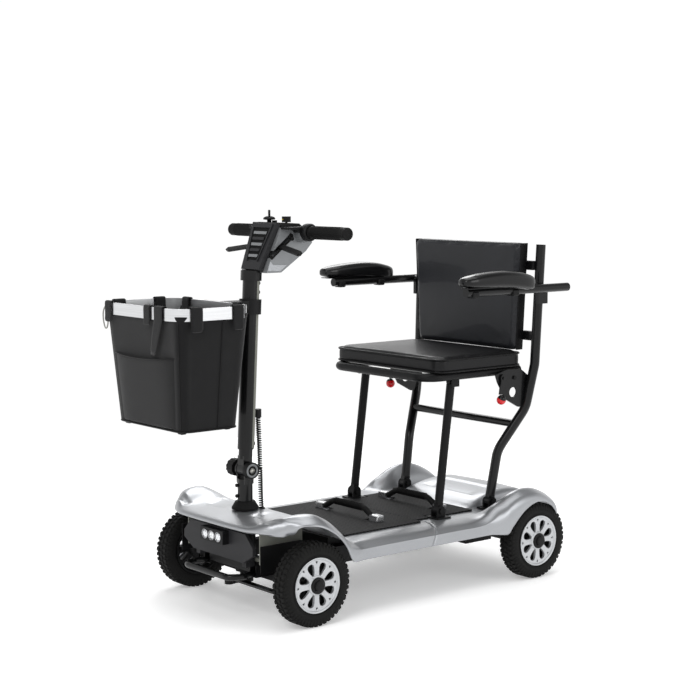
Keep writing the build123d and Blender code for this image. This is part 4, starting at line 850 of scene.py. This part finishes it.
seat_outline = [(x, y) for x, y in rounded_outline(207.5, 436.5, 737, 28)]
rings = cushion_rings(seat_outline, 557, 591.5, 7.0, 4.0, 1.2)
seat_top = loft("seat_cushion_cover", [[at(*p) for p in ring] for ring in rings], seat_vinyl)
seat_top = modified(swollen(seat_top, 5.0), "SUBSURF", levels=1, render_levels=1)
settle(seat_top, "seat_pan", "pad_vinyl", "seat_cushion")
for name, z in (("seat_piping_top", 589.5), ("seat_piping_base", 559.0)):
    line = spread(rounded_outline(207.6, 436.6, 737.0, 28), 90)
    settle(solid_tube(name, [at(x, y, z) for x, y in line], 2.6, piping_vinyl, closed=True), "seat_pan", "pad_vinyl")

back_outline = []
for x, z, centre_x, centre_z in ((1, 1, 193, 866), (-1, 1, -193, 866), (-1, -1, -178, 606), (1, -1, 178, 606)):
    start = {(1, 1): 0, (-1, 1): 90, (-1, -1): 180, (1, -1): 270}[(x, z)]
    for k in range(7):
        angle = math.radians(start + 15 * k)
        back_outline.append((centre_x + 11 * math.cos(angle), centre_z + 11 * math.sin(angle)))
rings = cushion_rings(back_outline, 724, 750, 6.0, 0.0, 0.8)
rings = [[at(x, y - (5.0 if y <= 724 else 0.0) * max(0.0, 1 - ((x / 200) ** 2 + ((z - 736) / 145) ** 2)), z)
          for x, z, y in ring] for ring in rings]
back_pad = loft("backrest_cover", rings, back_vinyl)
back_pad = modified(swollen(back_pad, 5.0), "SUBSURF", levels=1, render_levels=1)
settle(back_pad, "seat_back_frame", "pad_vinyl", "backrest_pad")
for side, word in ((1, "left"), (-1, "right")):
    ring = [(188.0, 596), (190.6, 596), (206.4, 876), (203.8, 876)]
    verts = [at(side * x, y, z) for y in (726.5, 750.5) for x, z in ring]
    faces = [(0, 1, 2, 3), (4, 7, 6, 5)] + [(i, i + 4, (i + 1) % 4 + 4, (i + 1) % 4) for i in range(4)]
    wrap = softened(outward(piece_from(word + "_backrest_side_wrap", verts, faces, piping_vinyl, False)), 1.1)
    settle(wrap, "seat_back_frame", "pad_vinyl")

arm_sections = [  # y, half width, lowest, highest
    (447, 2, 786, 790), (449, 11, 781, 795), (456, 18, 777, 800), (478, 23.5, 774, 805), (520, 26, 772, 810),
    (578, 26.5, 770, 813), (630, 25.5, 766, 810), (668, 22.5, 762, 803), (688, 17, 762, 797), (696, 9, 767, 791),
    (698, 2, 776, 784)]
for side, word in ((1, "left"), (-1, "right")):
    rings = []
    for step in range((len(arm_sections) - 1) * 4 + 1):
        y, half, low_z, high_z = spline_value(arm_sections, step / 4)
        ring = []
        for k in range(40):
            c, s = math.cos(math.tau * k / 40), math.sin(math.tau * k / 40)
            rounder = 0.72 if s > 0 else 0.5
            ring.append(at(side * 276 + half * math.copysign(abs(c) ** 0.8, c),
                           y, (low_z + high_z) / 2 + (high_z - low_z) / 2 * math.copysign(abs(s) ** rounder, s)))
        rings.append(ring)
    pad = loft(word + "_armrest_cover", rings, arm_skin)
    settle(pad, word + "_armrest", "arm_pad", word + "_armrest_pad")
    for clip_y in (500, 640):
        clip = block(f"{word}_arm_strap_{clip_y}", (side * 262 - 14, clip_y - 11, 747),
                     (side * 262 + 14, clip_y + 11, 764),
                     black_abs, 4.0, 3)
        settle(clip, word + "_armrest", "black_plastic")

for side, word in ((1, "left"), (-1, "right")):
    centre = at(side * 218.5, 646, 474)
    ball_line = [(14 * math.cos(math.radians(a)) * 0.86, 12.4 * math.sin(math.radians(a))) for a in range(0, 181, 12)]
    settle(lathe(word + "_latch_ball", ball_line, centre, red_knob, segments=32), word + "_latch", "latch_red")

# ---------------------------------------------------------------- basket


def basket_outline(z, inset=0.0):
    """The bag's outline at a height, narrower towards its floor."""
    t = (736 - z) / 267
    half = 160.5 - 22.5 * t - inset
    line = rounded_outline(half, -304 + 20 * t + inset, -104 - 23 * t - inset, 26 - 5 * t, 8)
    return spread(line, 150)


def basket_skin(z, inset, loose):
    """One ring of the bag, with sides that sag in a little and soft creases."""
    ring = []
    for x, y in basket_outline(z, inset):
        sag = math.sin(math.pi * (736 - z) / 267)
        crease = noise(Vector((x * 0.012, y * 0.012, z * 0.009))) * 2.6 * sag * loose
        flat = 1 - min(1.0, abs(abs(x) - 140) / 30) if abs(abs(y + 205) - 85) < 20 else 0.0
        pull = (1.8 * sag * loose + crease) * (1 - flat)
        far = math.hypot(x, y + 205)
        ring.append(at(x - x / far * pull, y - (y + 205) / far * pull, z))
    return ring


levels = [736, 733, 722, 705, 680, 650, 620, 590, 560, 530, 505, 485, 474, 470]
rings = [basket_skin(z, 0.6 if z < 733 else 0.0, 1.0) for z in levels]
rings.append([at(x, y, 469.2) for x, y in basket_outline(470, 3.5)])
for f in (0.8, 0.45, 0.12):
    rings.append([at(x * f, -205 + (y + 205) * f, 470 + 1.2 * (1 - f)) for x, y in basket_outline(470, 3.5)])
outer = loft("basket_bag_cloth", rings, oxford_cloth, cap_low=False, cap_high=True)
form = bmesh.new()
form.from_mesh(outer.data)
if sum(f.normal.z for f in form.faces if f.calc_center_median().z < 0.471) > 0:
    bmesh.ops.reverse_faces(form, faces=form.faces)
form.to_mesh(outer.data)
form.free()
bag = modified(outer, "SOLIDIFY", thickness=0.0024, offset=-1.0, use_even_offset=True)
settle(bag, "tiller", "bag_fabric", "basket_bag")


def seam_line(name, places, radius, material=piping_vinyl):
    settle(solid_tube(name, places, radius, material), "tiller", "bag_fabric")


def on_near(y, z, side=1):
    """A place on a side wall of the bag."""
    t = (736 - z) / 267
    return at(side * (160.8 - 22.5 * t), y, z)


seam_heights = (722, 680, 640, 600, 560, 520, 490, 474)
for side in (-1, 1):
    seam_line(f"basket_near_seam_{side + 1}", [on_near(-186 - (722 - z) * 0.01, z, side) for z in seam_heights], 0.9)
    places = []
    for z in seam_heights:
        t = (736 - z) / 267
        places.append(at(side * (148 - 21 * t), -299.5 + 19.5 * t, z))
    seam_line(f"basket_corner_seam_{side + 1}", places, 1.2)
base_line = [at(x, y, 472) for x, y in basket_outline(472, -0.6)][::3]
settle(solid_tube("basket_base_piping", base_line, 2.2, piping_vinyl, closed=True), "tiller", "bag_fabric")

# The front pocket: a second layer of cloth whose hemmed top edge dips in the middle.
across, down = 24, 14
verts = []
for j in range(down + 1):
    for i in range(across + 1):
        u = 2 * i / across - 1
        top = 638 - 7 * (1 - u * u) + 3 * u
        z = top + (476 - top) * j / down
        t = (736 - z) / 267
        out = 3.6 + 2.2 * (1 - u * u) * (1 - j / down) ** 2
        verts.append(at(u * (142 - 21 * t), -304 + 20 * t - out * (1 - u ** 6) + 5.5 * u ** 6, z))
faces = [(j * (across + 1) + i, j * (across + 1) + i + 1, (j + 1) * (across + 1) + i + 1, (j + 1) * (across + 1) + i)
         for j in range(down) for i in range(across)]
pocket = piece_from("basket_pocket", verts, faces, oxford_cloth)
pocket = outward(modified(pocket, "SOLIDIFY", thickness=0.0016, offset=0.0))
settle(modified(pocket, "SUBSURF", levels=1, render_levels=1), "tiller", "bag_fabric")
hem = [v + Vector((0, -0.0006, 0)) for v in verts[:across + 1]]
seam_line("basket_pocket_hem", hem, 1.5)


def strap_over(name, centre, normal, width, tail, lean=0.0, tail_width=None):
    """A webbing loop round the rim: up the outside, over the top and down inside."""
    nx, ny = normal
    side = (-ny, nx)
    tail_width = tail_width or width
    line = [(4.6, tail, tail_width), (5.4, 716, width), (3.6, 722, width), (3.2, 740, width), (3.2, 753, width),
            (2.0, 757.2, width), (-3.0, 757.8, width), (-8.6, 757.0, width), (-9.8, 752, width), (-9.8, 738, width),
            (-9.6, 722, width), (-9.2, 700, width)]
    verts = []
    for index, (off, z, wide) in enumerate(line):
        t = max(0.0, (736 - z) / 267)
        drop = 21 * t if off > 0 else 12 * t
        shift = lean * max(0.0, 722 - z) if off > 0 else 0.0
        for k in (-0.5, -0.17, 0.17, 0.5):
            a = k * wide + shift
            verts.append(at(centre[0] + nx * (off - drop) + side[0] * a,
                            centre[1] + ny * (off - drop) + side[1] * a, z))
    faces = [(r * 4 + i, r * 4 + i + 1, (r + 1) * 4 + i + 1, (r + 1) * 4 + i)
             for r in range(len(line) - 1) for i in range(3)]
    strap = piece_from(name, verts, faces, webbing)
    strap = modified(strap, "SOLIDIFY", thickness=0.0018, offset=0.0)
    strap = modified(outward(strap), "SUBSURF", levels=1, render_levels=1)
    settle(strap, "tiller", "bag_fabric")


for name, centre, normal, width, tail in (
    ("strap_front_far", (-128, -310), (0, -1), 30, 708), ("strap_front_mid", (40, -310), (0, -1), 28, 712),
    ("strap_near_front", (166, -262), (1, 0), 33, 700), ("strap_near_rear", (166, -148), (1, 0), 30, 700),
    ("strap_far_front", (-166, -262), (-1, 0), 33, 700), ("strap_far_rear", (-166, -148), (-1, 0), 30, 700),
    ("strap_back_far", (-110, -98), (0, 1), 30, 704), ("strap_back_near", (100, -98), (0, 1), 28, 704),
):
    strap_over(name, centre, normal, width, tail)
strap_over("strap_front_wide", (88, -310), (0, -1), 37, 640, lean=-0.42, tail_width=26)

# A wire bail at the far front corner, and the feet.
bail = [at(-160, -296, 748), at(-168, -302, 738), at(-169, -303, 712), at(-164, -299, 684), at(-158, -294, 700),
        at(-160, -296, 730)]
settle(solid_tube("basket_wire_bail", bail, 1.7, zinc_plate), "tiller", "silver_cap")
for x, y in ((-112, -268), (112, -268), (-112, -146), (112, -146)):
    settle(block(f"basket_foot_{x + 200}_{-y}", (x - 9, y - 7, 464.5), (x + 9, y + 7, 470), soft_rubber, 2.0), "tiller",
           "black_plastic")

# ---------------------------------------------------------------- handlebar head


def cover_place(share_x, share_z, out=0.0):
    """A place on the leaning front cover: across as a share of its half width, up from 0 to 1."""
    y, z = 6 + 45 * share_z, 826 + 112 * share_z
    half = 34 + 12.5 * share_z
    return at(share_x * half, y - out * 0.928, z + out * 0.37)


def cover_block(name, left, right, low, high, depth_low, depth_high, material, bevel=0.8):
    """A bar lying on the cover."""
    verts = [cover_place(u, v, d) for d in (depth_low, depth_high) for u, v in
             ((left[0], low), (right[0], low), (right[1], high), (left[1], high))]
    faces = [(0, 3, 2, 1), (4, 5, 6, 7), (0, 1, 5, 4), (1, 2, 6, 5), (2, 3, 7, 6), (3, 0, 4, 7)]
    piece = softened(outward(piece_from(name, verts, faces, material, False)), bevel)
    return settle(piece, "tiller", "dark_grey_plastic")


# Painted shade: a near-black sheet laid behind the grille bars and along the side slots, standing in for the dark of
# the openings.
painted_shade_black = grained("painted_shade_black_abs", "040404", "070707", 1.0, 0.02, Roughness=0.7)
cover_block("grille_painted_shade", (-0.52, -0.74), (0.52, 0.74), 0.2, 0.88, 0.2, 1.0, painted_shade_black, 0.4)
for k in range(5):
    v = 0.25 + 0.122 * k
    half = 0.4 + 0.22 * v
    cover_block(f"grille_bar_{k}", (-half, -half - 0.02), (half, half + 0.02), v, v + 0.062, 0.8, 4.0,
                head_silver if k % 2 == 0 else grey_abs, 0.9)
for word, edge in (("far", -1), ("near", 1)):
    cover_block(f"grille_frame_{word}", (edge * 0.62, edge * 0.84),
                (edge * 0.53, edge * 0.75), 0.17, 0.91, 0.4, 3.4, grey_abs, 0.8)
cover_block("grille_frame_top", (-0.84, -0.86), (0.84, 0.86), 0.88, 0.97, 0.4, 3.4, grey_abs, 0.8)

for side, word in ((1, "left"), (-1, "right")):
    facet = [(21, 823), (58, 821), (80, 836), (37, 838), (29, 846)]
    low_x, high_x = sorted((side * 51.4, side * 53.2))
    settle(prism(word + "_lower_facet", facet, low_x, high_x, silver_lacquer, 0.7), "tiller", "dark_grey_plastic")
    # Painted shade: a near-black plate on the slot's outline stands in for the shadow inside the slot.
    slot_shade_line = [(27, 856), (34, 849), (97, 899), (99, 908), (91, 913), (85, 908), (84, 903), (90, 905), (93, 901),
                (36, 857), (32, 859)]
    settle(prism(word + "_slot_painted_shade", slot_shade_line, low_x, high_x, painted_shade_black, 0.4), "tiller", "dark_grey_plastic")
    wrap = [(62, 927.6), (61, 922), (92, 920), (104, 912), (112, 897), (132, 894), (146, 902), (149, 914), (131, 927.6)]
    low_x, high_x = sorted((side * 51.6, side * 78.4))
    settle(prism(word + "_grip_wrap", wrap, low_x, high_x, black_abs, 1.6), "tiller", "black_plastic")
    collar = [(76, 15.6), (76, 21.5), (90, 21.5), (94, 19.5), (95, 15.6)]
    settle(lathe(word + "_grip_collar", [(side * a, r) for a, r in collar], at(0, 122, 914), black_abs, closed=True),
           "tiller", "black_plastic")
    end_ring = [(231, 15.5), (233.5, 14.5), (233.8, 11), (231.5, 9), (231.5, 0)]
    settle(lathe(word + "_grip_end", [(side * a, r) for a, r in end_ring] + [(side * 226, 0), (side * 226, 15.5)],
                 at(0, 122, 914), soft_rubber, closed=True), "tiller", "grip_rubber")
    rib = tread_block(0, 15.1, 16.1, 120, 1.1)
    ribs = repeated(rib, 36, soft_rubber, turn=(math.tau / 36, 0, 0))
    ribs = placed(ribs, Matrix.Translation(at(side * 160, 122, 914)))
    ribs.name = word + "_grip_flutes"
    settle(ribs, "tiller", "grip_rubber")
    screw = [(52.0, 0), (52.0, 5.5), (54.0, 5.2), (54.4, 3.2), (53.4, 2.8), (53.4, 0)]
    settle(lathe(word + "_head_screw", [(side * a, r) for a, r in screw], at(0, 95, 899), cast_metal, segments=24),
           "tiller", "zinc_bolt")

# ---------------------------------------------------------------- column trim, deck handles and light



def column_y(z):
    """Where the leaning column's middle is at a height."""
    return -12 + (z - 339) * 0.04716


for word, low_x, high_x in (("near", 14.6, 19.4), ("far", -19.4, -14.6)):
    line = [(column_y(z) + d, z) for z, d in ((392, 3.5), (392, 12.0), (798, 12.0), (798, 3.5))]
    settle(prism("column_channel_" + word, line, low_x, high_x, pale_abs, 0.6), "tiller", "black_steel")
settle(solid_tube("column_collar_band", [at(0, column_y(z), z) for z in (798.5, 806, 815, 823)], 25.9, stoved_enamel,
                  smooth=False, sides=10), "tiller", "black_plastic")
for piece_name, line, finish, sides in (("pivot_face_ring", [(31.5, 11.5), (33.4, 12.2), (33.4, 16.4), (31.5, 17.2)],
                                         head_silver, 48), ("pivot_hex", [(31, 0), (31, 7.5), (34, 7), (34, 0)],
                                                            zinc_plate, 6)):
    settle(lathe(piece_name, line, at(0, -13.5, 339), finish, closed=sides == 48, segments=sides), "steering_column",
           "zinc_bolt")

# The key: a round shroud and a broad tab with a window.
tab_loops = [[(-10, 947), (10, 947), (10, 965), (8, 967.5), (-8, 967.5), (-10, 965)],
             [(-5.5, 958.5), (-5.5, 962.8), (5.5, 962.8), (5.5, 958.5)]]
key_tab = flat_plate("key_tab", tab_loops, -2.2, 2.2, 0.5, black_abs)
placed(key_tab, Matrix.Translation(at(-14, 76, 0)) @ Matrix.Rotation(math.radians(58), 4, "Z"))
settle(key_tab, "ignition_key", "key_plastic", "ignition_key")
upright = Matrix.Translation(at(-14, 76, 0)) @ Matrix.Rotation(-math.pi / 2, 4, "Y")
shroud_line = [(930, 0), (930, 5), (943, 5.5), (944, 14), (946, 15), (949, 13.5), (952, 8), (953, 0)]
settle(placed(lathe("key_shroud", shroud_line, Vector(), black_abs, segments=40), upright), "ignition_key",
       "key_plastic", "ignition_key")
settle(block("dial_mark", (24.5, 85.8, 943), (27.5, 88.2, 946), horn_cap, 0.4), "speed_dial", "horn_plastic")
for side, word in ((1, "left"), (-1, "right")):
    low_x, high_x = sorted((side * 163.8, side * 165.4))
    plate = prism(word + "_bay_plate", [(-88, 120), (66, 120), (66, 176), (30, 186), (-88, 186)], low_x, high_x,
                  powder_coat, 0.6)
    settle(plate, "chassis", "black_steel")
for handle_y in (316, 533):
    rib = tube("handle_rib", [Vector((0, 0.0085 * math.cos(a), 0.0085 * math.sin(a)))
                              for a in [math.tau * k / 14 for k in range(14)]], 0.9, soft_rubber, closed=True, sides=2)
    rib = baked(rib)
    rib = repeated(rib, 17, soft_rubber, move=(0.0066, 0, 0))
    rib.name = f"handle_ribs_{handle_y}"
    placed(rib, Matrix.Translation(at(-52.8, handle_y, 210)))
    settle(rib, "chassis", "black_plastic")
    for side in (-1, 1):
        wedge = [(-12.2, 184.5), (12.2, 184.5), (9.5, 196), (4, 199.4), (-4, 199.4), (-9.5, 196)]
        low_x, high_x = sorted((side * 96, side * 124))
        cap = prism(f"handle_wedge_{handle_y}_{side + 1}", [(handle_y + y, z) for y, z in wedge], low_x, high_x,
                    chrome_cap, 2.4, 3)
        settle(cap, "chassis", "silver_cap")
for x in (-27, 0, 27):
    ring = [(0, 11.8), (2.2, 11.4), (2.4, 10.6), (0.4, 10.2)]
    for part, line, finish, slot_name in (("reflector", [(1.2, 0), (2.4, 5), (1.0, 9.9), (0, 9.9), (0, 0)], reflector,
                                           "clear_lens"), ("lamp_ring", ring, chrome_cap, "silver_cap")):
        turned = lathe(f"{part}_{x + 30}", line, Vector(), finish, closed=part == "lamp_ring", segments=40)
        face_front = Matrix.Translation(at(x, -112.2, 189)) @ Matrix.Rotation(-math.pi / 2, 4, "Z")
        settle(placed(turned, face_front), "chassis", slot_name)
